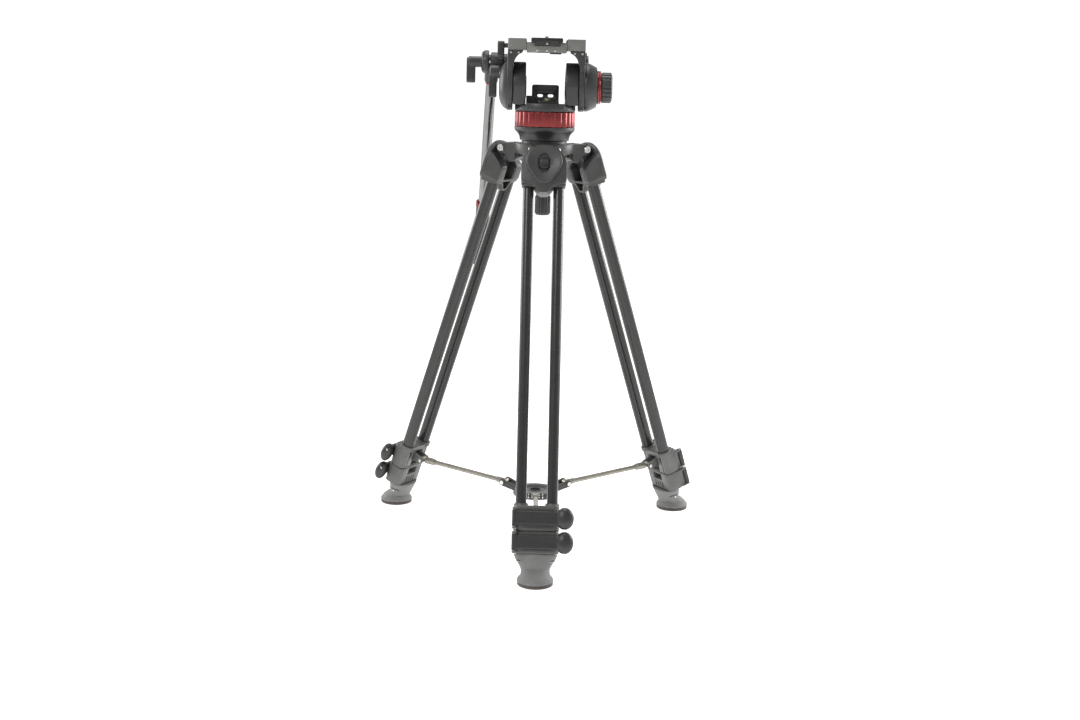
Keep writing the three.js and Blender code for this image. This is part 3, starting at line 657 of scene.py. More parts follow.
def shoulder():
    """Top casting of a leg: a shield in front, two walls that step down inwards, and a tongue."""
    arch = [(36 * cos(radians(a)), -27 + 33 * sin(radians(a))) for a in range(0, 181, 6)]
    shield = prism(soft(arch + shoulder_skirt(), 1.5, 2), "y", -17, -10.5, 1.3, 3)
    wall_side = soft([(-12.5, -9), (-4, -12.5), (6, -17.5), (12, -22), (18.5, -27), (18.5, -50), (14, -58),
                      (-12.5, -60)], 2.5, 3)
    walls = [prism(wall_side, "x", *mirrored(sign, 15, 34.5), 2, 3) for sign in (-1, 1)]
    lower = soft([(-34, -30), *shoulder_skirt(), (34, -30)], 3, 3)
    back = prism(lower, "y", -13, 17.5, 2.2, 3)
    dished = [(1, -14), (1, -18), (0.99, -20), (0.965, -21.4), (0.93, -22), (0.89, -22), (0.84, -21.6),
              (0.75, -20.5), (0.64, -19.4), (0.52, -18.6), (0.4, -18.2)]
    boss = loft([egg(scale, y) for scale, y in dished])
    tongue_side = arc(0, 0, 8.8, -12, 140, 14) + [(-13, 1), (-13, -38), (3, -38)]
    tongue = prism(tongue_side, "x", -14.5, 14.5, 0.8)
    slot = prism(ellipse(0, -24.5, 10.6, 16.4, 40), "y", -30, -14.6, 0)
    button_hole = prism(rectangle(-8, 8, -33.4, -11.6, 5), "y", -22, -9, 0)
    pin_hole = cylinder(4.1, -30, 30, "x", 40)
    inner = prism(rectangle(-13.2, 13.2, -50.5, -20, 2.5), "y", 3.4, 30, 0)
    deep = prism(rectangle(-11.5, 11.5, -49, -39, 2), "y", -7, 10, 0)
    web = prism(soft([(-13, -54), (-9, -58), (-5, -67), (5, -67), (9, -58), (13, -54)], 3), "y", -4, 30, 0)
    body = union(back, shield, *walls, tongue, boss)
    body = cut(body, slot, button_hole, pin_hole, inner, deep, web, *bores(UPPER_TUBE, -100, -32.9))
    return softened(body, 0.4, 42)


def angle_button():
    """Thumb button with a raised saddle above its grip ridges."""
    cap = prism(rectangle(-7.5, 7.5, -32.9, -12.1, 5, 6), "y", -19.4, -12.6, 1, 3)
    saddle = prism(rectangle(-7.3, 7.3, -24.4, -20.2, 1.9, 4), "y", -20.5, -15, 0.8, 3)
    grooves = [block(-9, 9, -22, -18.4, z - 0.6, z + 0.6, 0) for z in (-30.6, -28.4, -26.2, -17.6, -15.6)]
    return union(cut(cap, *grooves), saddle)


def hinge_pin():
    """Through bolt with a domed socket head at each end."""
    heads = []
    for side in (-1, 1):
        head = sided(side, [(0, 23.3), (6, 23.3), (6, 24.8), (5.2, 25.7), (0, 25.7)], 40)
        heads.append(cut(head, prism(ellipse(0, 0, 2.6, 2.6, 6), "x", *mirrored(side, 24.6, 27), 0)))
    shaft = cylinder(4, -23.8, 23.8, "x", 32)
    return join(shaft, *heads)


def add_legs():
    ears, bracket_pin = spreader_bracket()
    rocker, fittings = clamp_works()
    on_legs("hinge_bolt", hinge_pin(), "bright_steel", "root", "hinge_pin")
    on_legs("shoulder_casting", shoulder(), "dark_casting", "leg_{}", "shoulder")
    on_legs("thumb_button", angle_button(), "black_plastic", "leg_{}_button", "angle_button")
    on_legs("upper_tubes", tube_pair(UPPER_TUBE, -33, -598), "anodised_tube", "leg_{}", "upper_stage")
    on_legs("upper_clamp_casting", upper_casting(), "leg_casting", "leg_{}")
    on_legs("spreader_ears", ears, "leg_casting", "leg_{}")
    on_legs("spreader_pin", bracket_pin, "bright_steel", "leg_{}")
    on_legs("clamp_rocker", rocker, "black_plastic", "leg_{}")
    on_legs("clamp_fittings", fittings, "bright_steel", "leg_{}")
    gaskets = join(*ovals(UPPER_TUBE, 1.5, CLAMP_TOP + 3, CLAMP_TOP + 4.4, 0.4))
    on_legs("tube_gaskets", cut(gaskets, *bores(UPPER_TUBE, -640, -540)), "black_plastic", "leg_{}")
    on_legs("middle_tubes", tube_pair(MIDDLE_TUBE, -48.5, -632), "anodised_tube", "leg_{}_middle",
            "middle_stage")
    on_legs("lower_clamp_casting", lower_casting(), "leg_casting", "leg_{}_middle")
    on_legs("upper_flip_lever", flip_lever(UPPER_LEVER_Z), "black_plastic", "leg_{}_upper_clamp",
            "upper_lever")
    on_legs("lower_flip_lever", flip_lever(LOWER_LEVER_Z), "black_plastic", "leg_{}_lower_clamp",
            "lower_lever")
    on_legs("upper_lever_pin", lever_pin(UPPER_LEVER_Z), "bright_steel", "leg_{}")
    on_legs("lower_lever_pin", lever_pin(LOWER_LEVER_Z), "bright_steel", "leg_{}_middle")
    for label, middle in (("upper", UPPER_LEVER_Z), ("lower", LOWER_LEVER_Z)):
        screw = screws(1.9, 1.5, "+x", [(52.3, -15.5, middle + 9)])
        on_legs(label + "_lever_screw", screw, "bright_steel", "leg_{}_" + label + "_clamp")
    on_legs("lower_tubes", tube_pair(LOWER_TUBE, -64, -634.5), "anodised_tube", "leg_{}_foot",
            "lower_stage")
    core = prism(rectangle(-29.5, 29.5, -5.5, 17.5, 11, 6), "z", -644.8, CLAMP_END - 0.5, 0.5)
    on_legs("foot_core", core, "black_plastic", "leg_{}_foot")


# ---------- shoes ----------
def add_boots():
    lean = UPRIGHT[1].inverted() @ LEG[1]
    sole_y = (lean @ (Vector((0, TUBE_Y, -PIN_HEIGHT / cos(radians(LEG_LEAN)))) * MM)).y / MM

    def level(radius, z):
        return [(x, y, z) for x, y in ellipse(0, sole_y, radius, radius, 56)]

    def sloping(half_width, half_depth, down):
        ring = ellipse(0, TUBE_Y, half_width, half_depth, 56)
        return [tuple(lean @ (Vector((x, y, -down)) * MM) / MM) for x, y in ring]

    rings = [level(26.4, 5.3), level(27.6, 5.5), level(28, 6.3), level(27.8, 8.4), level(26.6, 10.2),
             level(24.6, 12.4), level(22.6, 15), sloping(22, 17.2, 657), sloping(23.4, 17.4, 653),
             sloping(26.2, 17.7, 648.5), sloping(29.2, 18, 644), sloping(31.6, 18.2, 639.5),
             sloping(33.1, 18.4, 635.4), sloping(33.4, 18.5, 634), sloping(33, 18.2, 633.4)]
    tab = moved(prism(rectangle(3.6, 8.6, -652.5, -646.5, 2.4), "x", -50, 50, 0), lean)
    socket = moved(prism(rectangle(-29.9, 29.9, -5.9, 17.9, 11.3, 6), "z", -645.2, -600, 0), lean)
    upper = softened(cut(loft(rings), tab, socket), 0.3, 50)
    rivet = lathe([(0, -25), (1.6, -25), (2, -24.5), (2, 24.5), (1.6, 25), (0, 25)], "x", 28, (6.1, -649.5))
    on_legs("shoe_rivet", moved(rivet, lean), "bright_steel", "leg_{}_foot", axes=UPRIGHT)
    on_legs("shoe", upper, "grey_rubber", "leg_{}_foot", "boot", UPRIGHT)
    sole = loft([level(26.6, 0.02), level(27.3, 0.6), level(27.5, 4.2), level(27.1, 4.9), level(25.8, 5.4)])
    on_legs("sole", sole, "sole_rubber", "leg_{}_foot", axes=UPRIGHT)


# ---------- spreader ----------
HUB_REACH = 60
HUB_Z = 73


def arm_parts(length):
    rod = cylinder(4, 5, length - 5, "z", 36)
    sleeve = lathe([(0, 6.5), (5.2, 6.5), (6, 7.3), (6, 24), (5.2, 24.8), (5.2, 26.4), (4.6, 27.2),
                    (0, 27.2)], "z", 36)
    eyes = [lathe([(0, -5.4), (5, -5.4), (5.5, -4.9), (5.5, 4.9), (5, 5.4), (0, 5.4)], "x", 36, (0, z))
            for z in (0, length)]
    holes = [cylinder(2.7, -9, 9, "x", 28, (0, z)) for z in (0, length)]
    ferrule = cylinder(5, length - 16, length - 5, "z", 36)
    return cut(union(rod, sleeve, ferrule, *eyes), *holes)


def add_spreader():
    for n in LEGS:
        outer = pivot(f"spreader_{n}_fold")
        inner = UPRIGHT[n] @ (Vector((0, -HUB_REACH, HUB_Z)) * MM)
        way = (inner - outer).normalized()
        axes = axes_at(outer, axis_of(f"leg_{n}_spread"), way)
        piece(f"spreader_rod_{n}", arm_parts((inner - outer).length / MM), "spreader_metal", f"spreader_{n}",
              f"spreader_arm_{n}", axes)
    disc = lathe([(9, 59), (36, 59), (38, 60.5), (38, 67.5), (36.5, 69), (20, 69), (18, 67.6), (12, 67.6),
                  (9, 69)])
    pin_profile = [(0, -12.6), (3.6, -12.6), (3.6, -11.2), (2.4, -11.2), (2.4, 11.2), (3.6, 11.2),
                   (3.6, 12.6), (0, 12.6)]
    ribs, pins = [], []
    for n in LEGS:
        turn = HEAD.inverted() @ UPRIGHT[n]
        ear = soft([(-30, 60.5), (-30, 68.5), *arc(-HUB_REACH, HUB_Z, 6, 90, 270, 12)], 1, 2)
        ribs += [moved(prism(ear, "x", x, x + 4, 0.6), turn) for x in (-11, 7)]
        pin = lathe(pin_profile, "x", 28, (-HUB_REACH, HUB_Z))
        pins.append(moved(pin, turn))
    hub = softened(union(disc, *ribs), 0.4)
    piece("spreader_centre", hub, "black_plastic", "spreader_hub", "spreader_hub")
    piece("spreader_centre_pins", join(*pins), "bright_steel", "spreader_hub")


# ---------- crown and bowl ----------
def add_crown():
    def bowl_arc(radius, start, end, steps):
        return arc(0, BOWL_TOP, radius, start, end, steps)

    inside = bowl_arc(BOWL_RADIUS, 0, -64.7, 12)
    outside = bowl_arc(42, -67.6, -25, 8)
    ring = lathe([*inside, *outside, (46.4, 635.5), (47, 637), (47, 650.2), (46.2, BOWL_TOP)], "z", 120)
    side = soft([(-38.6, BOWL_TOP - 0.3), (-58, BOWL_TOP - 0.3), *arc(-PIN_OUT, PIN_HEIGHT, 8.8, 90, 265, 14),
                 (-60, 631.6), (-57, 624.5), *arc(-51, 625.5, 5.6, 200, 300, 6), (-43, 622)], 1.2, 2)
    cheeks, holes = [], []
    for n in LEGS:
        turn = HEAD.inverted() @ UPRIGHT[n]
        cheeks += [moved(prism(side, "x", x, x + 7.9, 1, 3), turn) for x in (-23, 15.1)]
        washers = [cylinder(8, x, x + 0.9, "x", 40, (-PIN_OUT, PIN_HEIGHT)) for x in (-23.6, 22.7)]
        cheeks += [moved(washer, turn) for washer in washers]
        web = soft([(-39, 640), (-53, 640), (-53, 626), (-46, 622), (-39, 628)], 1.5)
        cheeks.append(moved(prism(web, "x", -16, 16, 0.6), turn))
        holes.append(moved(cylinder(4.2, -30, 30, "x", 36, (-PIN_OUT, PIN_HEIGHT)), turn))
    bowl_room = lathe([(0, 700), (BOWL_RADIUS, 700), *inside, (0, 605)], "z", 120)
    body = cut(union(ring, *cheeks), *holes, bowl_room)
    piece("crown", softened(body, 0.45, 40), "dark_casting", "root", "spider")
    ball = lathe([(0, 566), (4.6, 566), (4.9, 566.6), (4.9, 616), *bowl_arc(37.1, -70, 0, 16), (36.6, 651.6),
                  (36.6, 655.6), (36, 656.2), (0, 656.2)], "z", 96)
    piece("levelling_ball", ball, "ball_metal", "head_base", "half_ball")
    inner = bowl_arc(42.4, -76.3, -58.6, 6)
    washer = lathe([*inner, (24, 612.5), (24, 607.6), (23.4, 607), (10, 606)])
    piece("clamp_cup", washer, "black_plastic", "level_ring", "cup_washer")
    grip = prism(scallops(13, 1.3, 16, 6, 0.6), "z", 537.5, 565.5, 1.2, 3)
    body = lathe([(0, 534.6), (9, 534.8), (11, 535.6), (11.9, 537.6), (11.9, 566), (10.6, 568.6), (9.4, 570),
                  (9, 601), (0, 601)], "z", 64)
    cap = lathe([(0, 534.5), (6.4, 534.5), (8.6, 534.7), (8.8, 535.2), (0, 535.2)], "z", 48)
    piece("bowl_knob_cap", cap, "bright_steel", "bowl_knob")
    knob = cut(union(grip, body), cylinder(5.3, 560, 610, "z", 40))
    piece("bowl_knob_grip", knob, "black_plastic", "bowl_knob", "bowl_clamp_knob")


# ---------- head, below the tilt axis ----------
def add_pan_base():
    flare = [(39.4, 656.5), (40, 657.1), (40.2, 659.5), (40.9, 662.5), (42.4, 665.7), (44.8, 668.8),
             (47.2, 671), (48.6, 672.6), (49, 674)]
    body = lathe([(0, 656.5), *flare, (49, 677.4), (48.4, 678.1), (22, 678.1), (22, 702.4), (0, 702.4)],
                 "z", 120)
    piece("pan_base_casting", body, "head_casting", "head_base", "pan_base")
    band = prism(scallops(49, 1.5, 26, 10, 0.55), "z", 678.7, 702.4, 0.9, 3)
    ring = cut(band, cylinder(22.8, 660, 720))
    piece("pan_drag_band", ring, "red_anodised", "pan_drag", "pan_drag_ring")


def add_pan_floor():
    disc = lathe([(0, 702.9), (47.6, 702.9), (48.6, 703.6), (49, 704.8), (49, 711.6), (48.2, FLOOR_TOP),
                  (0, FLOOR_TOP)], "z", 120)
    rim = lathe([(45.6, 706), (49.4, 706), (50, 706.8), (50, 715), (49.4, 715.9), (46.6, 716), (45.9, 715.4)],
                "z", 120)
    keep = block(-31, 31, -60, -25, 700, 720, 0)
    lip = combined(rim, [keep], "INTERSECT")
    body = softened(union(disc, lip), 0.3)
    piece("pan_floor_casting", body, "head_casting", "pan_body", "pan_floor")
    spots = [(x, y, FLOOR_TOP - 0.2) for x, y in ((-20, -30), (20, -30), (26, -14), (-26, 30), (26, 30))]
    piece("pan_floor_screws", screws(2, 1.2, "+z", spots), "bright_steel", "pan_body")


def tower(sign):
    """Upright of the pan body, with the tilt axle's stub and a shallow panel on its inner face."""
    side = soft(arc(0, TILT_Z, 38, 0, 180, 48) + [(-33, FLOOR_TOP + 0.2), (33, FLOOR_TOP + 0.2)], 1.5, 2)
    body = prism(side, "x", *mirrored(sign, 32, 52.4), 2, 4)
    stub = cylinder(12, sign * 34, sign * 61.6, "x", 64, TILT)
    collar = cylinder(20, sign * 50, sign * 52.8, "x", 72, TILT)
    cap = sided(sign, [(0, 31), (15, 31), (16, 32), (16, 36), (0, 36)], 72, TILT)
    panel = prism(soft(arc(0, TILT_Z, 31, 8, 172, 30) + [(-27, 722), (27, 722)], 3), "x",
                  *mirrored(sign, 28, 32.9), 0)
    body = union(cut(body, panel), stub, collar, cap)
    return softened(body, 0.35)


def add_towers():
    for sign, name in ((-1, "left"), (1, "right")):
        piece(f"tower_casting_{name}", tower(sign), "head_casting", "pan_body", f"tower_{name}")
        facing = "+x" if sign < 0 else "-x"
        spots = [(sign * 32.6, 22 * cos(a), TILT_Z + 22 * sin(a)) for a in (0.5, pi - 0.5, 4.0, 5.4)]
        piece(f"tower_screws_{name}", screws(2, 1.3, facing, spots), "bright_steel", "pan_body")


def add_level_housing():
    back = prism(rectangle(-22, 22, FLOOR_TOP + 0.2, 745, 3.4), "y", 14, 20, 0.9)
    tray = block(-13, 22, -6, 16, FLOOR_TOP + 0.2, 719, 0.9)
    side_box = block(-31, -12, 2, 18, FLOOR_TOP + 0.2, 727, 1.2)
    windows = [prism(rectangle(x, x + 9, 725, 729.6, 2.2), "y", 8, 26, 0) for x in (-13, 4)]
    seat = cylinder(7.4, 717, 730, "z", 56, VIAL)
    hood = prism(rectangle(-15, 15, 731, 736, 1.5), "y", 9, 15, 0.8)
    slots = [block(x - 0.6, x + 0.6, 0, 4, 716, 724, 0) for x in (-28, -25.5, -23, -20.5, -18, -15.5)]
    frame_ring = prism(rectangle(-19, 19, 718, 742, 2.6), "y", 12, 13.6, 0)
    body = cut(union(back, tray, side_box, hood), *windows, seat, frame_ring, *slots)
    piece("level_housing_moulding", softened(body, 0.3), "black_plastic", "pan_body", "level_housing")
    vial = lathe([(0, 717.2), (6.9, 717.2), (6.9, 721.4), (6.2, 722.3), (3, 722.8), (0, 722.9)], "z", 56,
                 VIAL)
    piece("level_vial", vial, "vial_fluid", "pan_body", "bubble_vial")
    ring = lathe([(6.0, 722.0), (7.2, 722.0), (7.2, 722.9), (6.0, 723.1)], "z", 56, VIAL)
    piece("level_vial_ring", ring, "bright_steel", "pan_body")
    spots = [(-10, -3, 718.8), (18, -3, 718.8), (18, 10, 718.8)]
    piece("level_screws", screws(1.4, 0.9, "+z", spots), "bright_steel", "pan_body")


# ---------- head, on the tilt axis ----------
def tilt_arm(sign):
    outline = (arc(0, TILT_Z, 39.4, 180, 360, 40) + arc(*ROSETTE, 16, -28, 52, 12) + [(52, 803), (-30, 803)])
    web = prism(outline, "x", *mirrored(sign, 53, 62), 1.4, 3)
    web_hole = cylinder(12.5, 46 * sign, 68 * sign, "x", 56, TILT)
    gusset_side = [(53.4, 799.6), (60, 799.6), (60, 770), (57, 771), (54.6, 776), (53.4, 784)]
    gusset = prism(soft([(sign * x, z) for x, z in gusset_side], 1), "y", -29, 40, 0.5)
    bracket_side = [(37, 799.5), (61.5, 799.5), (61.5, 776), (58, 767), (53.4, 767), (52.6, 777), (49, 786),
                    (44, 792), (38, 795)]
    bracket = prism(soft([(sign * x, z) for x, z in bracket_side], 2), "y", -46.5, -30, 1, 3)
    boss = sided(sign, [(0, 60), (14, 60), (14, 68.4), (12.6, 69.6), (0, 69.6)], 64, ROSETTE)
    pocket = cylinder(5, 55 * sign, 70 * sign, "x", 40, PLATE_LOCK if sign < 0 else PLATE_RELEASE)
    return softened(cut(union(web, gusset, bracket, boss), web_hole, pocket), 0.35)


def platform_block(sign):
    body = prism(rectangle(*mirrored(sign, 32, 61.5), 799, PLATFORM_TOP, 1.6), "y", -48, 52, 1.3, 3)
    groove = block(*mirrored(sign, 30, 63), -49.2, -47.4, 800.5, 801.3, 0)
    pocket = cylinder(5, 55 * sign, 70 * sign, "x", 40, PLATE_LOCK)
    return cut(body, groove, pocket) if sign < 0 else cut(body, groove)


def rosette_teeth(sign):
    teeth = []
    for i in range(24):
        a = tau * i / 24
        y, z = ROSETTE[0] + 10.6 * cos(a), ROSETTE[1] + 10.6 * sin(a)
        tooth = block(*mirrored(sign, 69.4, 70), -2.6, 2.6, -0.5, 0.5, 0.15, 1)
        teeth.append(moved(tooth, offset(0, y, z) @ Matrix.Rotation(a, 4, "X")))
    return join(*teeth)


def about_tilt(profile):
    return lathe(profile, "x", 96, TILT)


def add_tilt_head():
    for sign, name in ((-1, "left"), (1, "right")):
        piece(f"tilt_arm_casting_{name}", tilt_arm(sign), "head_casting", "tilt_head", f"tilt_arm_{name}")
        piece(f"platform_{name}", platform_block(sign), "platform_casting", "tilt_head")
        piece(f"rosette_teeth_{name}", rosette_teeth(sign), "bright_steel", "tilt_head")
        spots = [(sign * 44.5, -46.3, 794.6), (sign * 56.5, -46.3, 794.6)]
        piece(f"bracket_screws_{name}", screws(1.5, 1, "-y", spots), "bright_steel", "tilt_head")
        cap = sided(sign, [(0, 69.2), (8, 69.2), (8, 69.7), (7.4, 70), (3, 70), (2.6, 69.6), (0, 69.6)],
                    40, ROSETTE)
        piece(f"rosette_cap_{name}", cap, "bright_steel", "tilt_head")
    left = about_tilt([(0, -75), (17, -75), (21, -74.6), (26, -73.2), (30.5, -71), (34, -68.2), (36.6, -65),
                       (37.8, -62.6), (37.4, -62.3), (0, -62.3)])
    piece("dome_left", left, "head_casting", "tilt_head", "tilt_dome_left")
    right = about_tilt([(5.4, 62.3), (38.2, 62.3), (38.6, 63), (38.8, 66), (38, 69.4), (36, 74), (32.4, 81),
                        (31.4, 82.2), (5.4, 82.3)])
    piece("dome_right", right, "head_casting", "tilt_head", "tilt_dome_right")
    ring = about_tilt([(5.5, 82.8), (25.8, 82.8), (26.8, 83.6), (27, 84.8), (26.4, 86), (26.9, 87.2),
                       (26.6, 88.4), (25.6, 89), (5.5, 89)])
    piece("tilt_drag_band", ring, "red_anodised", "tilt_drag", "tilt_drag_ring")
    grip = moved(prism(scallops(24.6, 1.7, 20, 8, 0.4), "x", 90.6, 105.6, 1, 3), offset(0, 0, TILT_Z))
    core = about_tilt([(0, 64), (5, 64), (5, 89.2), (22.6, 89.2), (23, 90), (23, 105.6), (21.6, 106.8),
                       (19, 107.3), (17, 106.6), (6, 106.2), (0, 106.2)])
    piece("tilt_drag_grip", union(grip, core), "black_plastic", "tilt_drag", "tilt_drag_knob")


def add_bridge():
    deck = block(-31.8, 31.8, -48, 52, 795.6, 806, 0.8)
    rail_side = [(22.2, 805), (31.8, 805), (31.8, 811.2), (19.2, 811.2)]
    rails = [prism(soft([(sign * x, z) for x, z in rail_side], 0.4), "y", -48, 52, 0.5) for sign in (-1, 1)]
    hollow = prism(rectangle(-16, 16, -36, 40, 4), "z", 790, 800, 0)
    ribs = [block(-16, 16, y - 1, y + 1, 796.2, 801, 0.3) for y in (-18, 2, 22)]
    body = union(softened(cut(union(deck, *rails), hollow), 0.3), *ribs)
    piece("bridge_casting", body, "platform_casting", "tilt_head", "bridge")
    lip = block(5, 23, -46.5, -41, 793, 796.2, 0.6)
    piece("bridge_catch", lip, "black_plastic", "tilt_head")
    spots = [(x, -47.8, 798.4) for x in (-15, 0, 13)]
    piece("bridge_screws", screws(1.7, 1, "-y", spots), "bright_steel", "tilt_head")


def add_plate():
    right = [(20.8, 806.5), (17.9, 811.4), (25, 811.4), (25, 817), (24, 817.9)]
    section = soft(right + [(-x, z) for x, z in right[::-1]], 0.5, 2)
    body = prism(section, "y", -66, 76, 0.7)
    slot = prism(rectangle(-3.6, 3.6, -30, 30, 3.5), "z", 800, 820, 0)
    head_slot = prism(rectangle(-9, 9, -38, 38, 8.9), "z", 800, 812, 0)
    nose = block(-17, 17, -70, -60, 800, 811.2, 0)
    channels = [block(side * 15 - 5, side * 15 + 5, -58, 68, 817.2, 820, 0) for side in (-1, 1)]
    plate = softened(cut(body, slot, head_slot, nose, *channels), 0.25)
    piece("camera_plate_body", plate, "black_anodised", "plate", "sliding_plate")
    pads = []
    for side in (-1, 1):
        strip = block(side * 15 - 4.8, side * 15 + 4.8, -57.8, 67.8, 816.6, 817.9, 0.2)
        grooves = [block(side * 15 - 6, side * 15 + 6, y - 0.5, y + 0.5, 817.5, 819, 0)
                   for y in range(-54, 68, 4)]
        pads.append(cut(strip, *grooves))
    piece("camera_plate_pads", join(*pads), "grip_rubber", "plate")
    pin = lathe([(0, -62), (1.6, -62), (1.9, -61.6), (1.9, -52), (0, -52)], "y", 28, (0, 809))
    piece("plate_stop_pin", pin, "bright_steel", "plate")
    thread = [(3.1 - 0.28 * (k % 2), 812 + 0.4 * k) for k in range(23)]
    screw = lathe([(0, 807), (7.6, 807), (8, 807.5), (8, 810.9), (7.4, 811.4), (3.1, 811.4), *thread,
                   (2.4, 821.9), (0, 821.9)], "z", 48)
    coin_slot = block(-9, 9, -0.8, 0.8, 805, 808.4, 0)
    piece("camera_bolt", cut(screw, coin_slot), "bright_steel", "screw", "camera_screw")


def handle(outline, start, end, ribs, across):
    """A lever's handle with finger ribs cut across its front and back."""
    body = prism(outline, "x", start, end, 1.6, 3)
    cutters = [block(start - 2, end + 2, y0, y1, z - 0.45, z + 0.45, 0) for z in ribs for y0, y1 in across]
    return cut(body, *cutters)


def add_levers():
    shaft = cylinder(3.9, -69, -57.4, "x", 36, PLATE_LOCK)
    grip = handle(rectangle(-1, 11, 785, 813, 5.6, 8), -79, -67.8, range(788, 803, 3), [(-3, 0), (10, 13)])
    piece("plate_lock_handle", union(grip, shaft), "black_plastic", "plate_lock", "plate_lock_lever")
    cap = cylinder(2.8, -79.4, -78.4, "x", 28, PLATE_LOCK)
    piece("plate_lock_cap", cap, "bright_steel", "plate_lock")
    button = lathe([(0, 60), (4.3, 60), (4.3, 65.2), (3.5, 65.9), (0, 66)], "x", 40, PLATE_RELEASE)
    piece("plate_release_cap", button, "black_plastic", "plate_release", "plate_release_button")
    hub = lathe([(0, -90.8), (8.6, -90.8), (10.2, -89.6), (10.4, -86), (10.4, -75.4), (0, -75.4)], "x", 56,
                TILT_LOCK)
    grip = handle(rectangle(-2, 12, 723, 764, 5.4, 8), -92, -79.2, range(726, 752, 3),
                  [(-4, -0.8), (10.8, 14)])
    piece("tilt_lock_handle", union(grip, hub), "black_plastic", "tilt_lock", "tilt_lock_lever")
    hub = lathe([(0, -127), (8, -127), (8.9, -126), (8.9, -106.4), (0, -106.4)], "x", 56, ROSETTE)
    grip = handle(rectangle(38, 52, 745, 786, 6, 8), -130, -115.4, range(749, 772, 3),
                  [(36, 39.1), (50.9, 54)])
    piece("bar_clamp_handle", union(grip, hub), "black_plastic", "bar_lock", "bar_clamp_lever")


# ---------- pan bar ----------
def add_bar():
    drum = [(0, -70.2), (15.2, -70.2), (16, -71), (16, -89.2), (15.2, -90), (12, -90.4), (12, -93.2)]
    disc = [(18.2, -93.4), (19, -94.2), (19, -99.4), (18, -102), (16, -104.6), (12, -105.9), (0, -106)]
    head = lathe([*drum, *disc], "x", 80, ROSETTE)
    to_bar = HEAD.inverted() @ BAR
    socket = moved(lathe([(0, 4), (11.4, 4), (11.4, 31), (11.2, 33), (10.2, 34), (0, 34)], "z", 56), to_bar)
    bore = moved(cylinder(8.9, 17, 60, "z", 48), to_bar)
    clamp = softened(cut(union(head, socket), bore), 0.3)
    piece("bar_clamp_casting", clamp, "head_casting", "bar", "bar_clamp")
    screw = screws(2, 1.2, "-y", [(-91.8, ROSETTE[0] - 13, ROSETTE[1])])
    piece("bar_clamp_screw", screw, "bright_steel", "bar")
    tube = lathe([(7, 17.6), (8.1, 17.6), (8.5, 18), (8.5, 299.6), (7, 299.6)])
    piece("pan_bar_tube", tube, "bar_aluminium", "bar", "pan_bar", BAR)
    accent = lathe([(8.55, 34.4), (9.7, 34.4), (10, 35), (10, 36.6), (9.6, 37.2), (8.55, 37.2)], "z", 64)
    piece("pan_bar_accent", accent, "red_anodised", "bar", at=BAR)
    ring = lathe([(9.2, 266.1), (12.2, 266.1), (13, 267), (13, 273), (12.2, 273.9), (9.2, 273.9)])
    piece("pan_bar_ring", ring, "red_anodised", "bar", "bar_ring", BAR)
    profile = [(9.2, 274.4), (11.4, 274.4), (12, 275), (12, 298), (13, 300)]
    for k in range(16):
        start = 301 + 4.9 * k
        profile += [(13.5, start), (13.5, start + 3.1), (12.7, start + 3.5), (12.7, start + 4.5)]
    profile += [(13.5, 379.6), (14.6, 380.4), (15, 382), (15, 388), (14.2, 389.6), (12, 390.4), (11.6, 394),
                (10.6, 395)]
    grip = lathe([(0, 300.4), (9.2, 300.4), *profile, (0, 395)])
    piece("pan_bar_grip", grip, "grip_rubber", "bar", "bar_grip", BAR)


# ---------- floor and light ----------
# direction, and where along it the sky's strength starts and stops changing, and from what to what
SKY = (("Y", (-0.8, 0.2, 0.62, 1.15)), ("Z", (0.2, 0.8, 1.0, 0.45)))
FLOOR_REACH = 25000
AIM_HEIGHT = 0.5


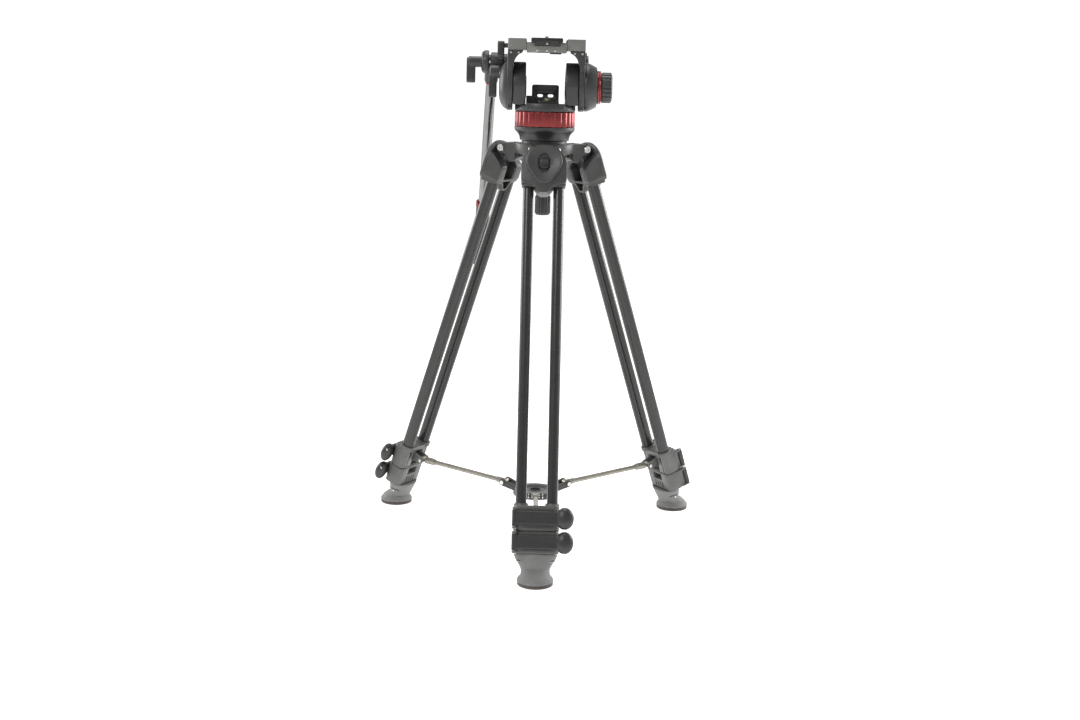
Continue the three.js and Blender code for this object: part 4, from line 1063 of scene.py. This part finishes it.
def add_sky():
    """White behind the object, greyer in front of it and overhead, as in a studio."""
    world = bpy.data.worlds.new("studio")
    SCENE.world = world
    world.use_nodes = True
    tree = world.node_tree
    way = tree.nodes.new("ShaderNodeSeparateXYZ")
    tree.links.new(tree.nodes.new("ShaderNodeTexCoord").outputs["Generated"], way.inputs["Vector"])
    both = tree.nodes.new("ShaderNodeMath")
    both.operation = "MULTIPLY"
    for i, (part, span) in enumerate(SKY):
        ramp = tree.nodes.new("ShaderNodeMapRange")
        ramp.interpolation_type = "SMOOTHSTEP"
        for key, value in zip(("From Min", "From Max", "To Min", "To Max"), span):
            ramp.inputs[key].default_value = value
        tree.links.new(way.outputs[part], ramp.inputs["Value"])
        tree.links.new(ramp.outputs["Result"], both.inputs[i])
    tree.links.new(both.outputs["Value"], tree.nodes["Background"].inputs["Strength"])
    tree.nodes["Background"].inputs["Color"].default_value = (1, 1, 1, 1)


# name, place from the axis in metres, size, watts
LAMPS = (("key", (-1.3, -1.7, 2.2), 1.0, 26), ("left_rim", (-1.7, 0.8, 1.0), 1.1, 18),
         ("right_rim", (1.7, 0.7, 1.0), 1.1, 30), ("top", (0, 0.3, 2.4), 1.4, 22))


def add_studio():
    corners = [(x * FLOOR_REACH, y * FLOOR_REACH, 0) for x, y in ((-1, -1), (1, -1), (1, 1), (-1, 1))]
    floor = linked("floor", shell(corners, [(0, 1, 2, 3)]))
    paper = surface("paper", (0.9, 0.9, 0.89), roughness=0.8, grain=300, bump=0.05, mottle=0.01, glow=0.55)
    floor.data.materials.append(paper)
    add_sky()
    for name, place, size, power in LAMPS:
        lamp = linked(name, bpy.data.lights.new(name, "AREA"))
        lamp.data.size = size
        lamp.data.energy = power
        lamp.location = CENTRE + Vector(place)
        aim = CENTRE + Vector((0, 0, AIM_HEIGHT)) - lamp.location
        lamp.rotation_euler = aim.to_track_quat("-Z", "Y").to_euler()
    SCENE.view_settings.view_transform = "Standard"


add_legs()
add_boots()
add_spreader()
add_crown()
add_pan_base()
add_pan_floor()
add_towers()
add_level_housing()
add_tilt_head()
add_bridge()
add_plate()
add_levers()
add_bar()
add_studio()
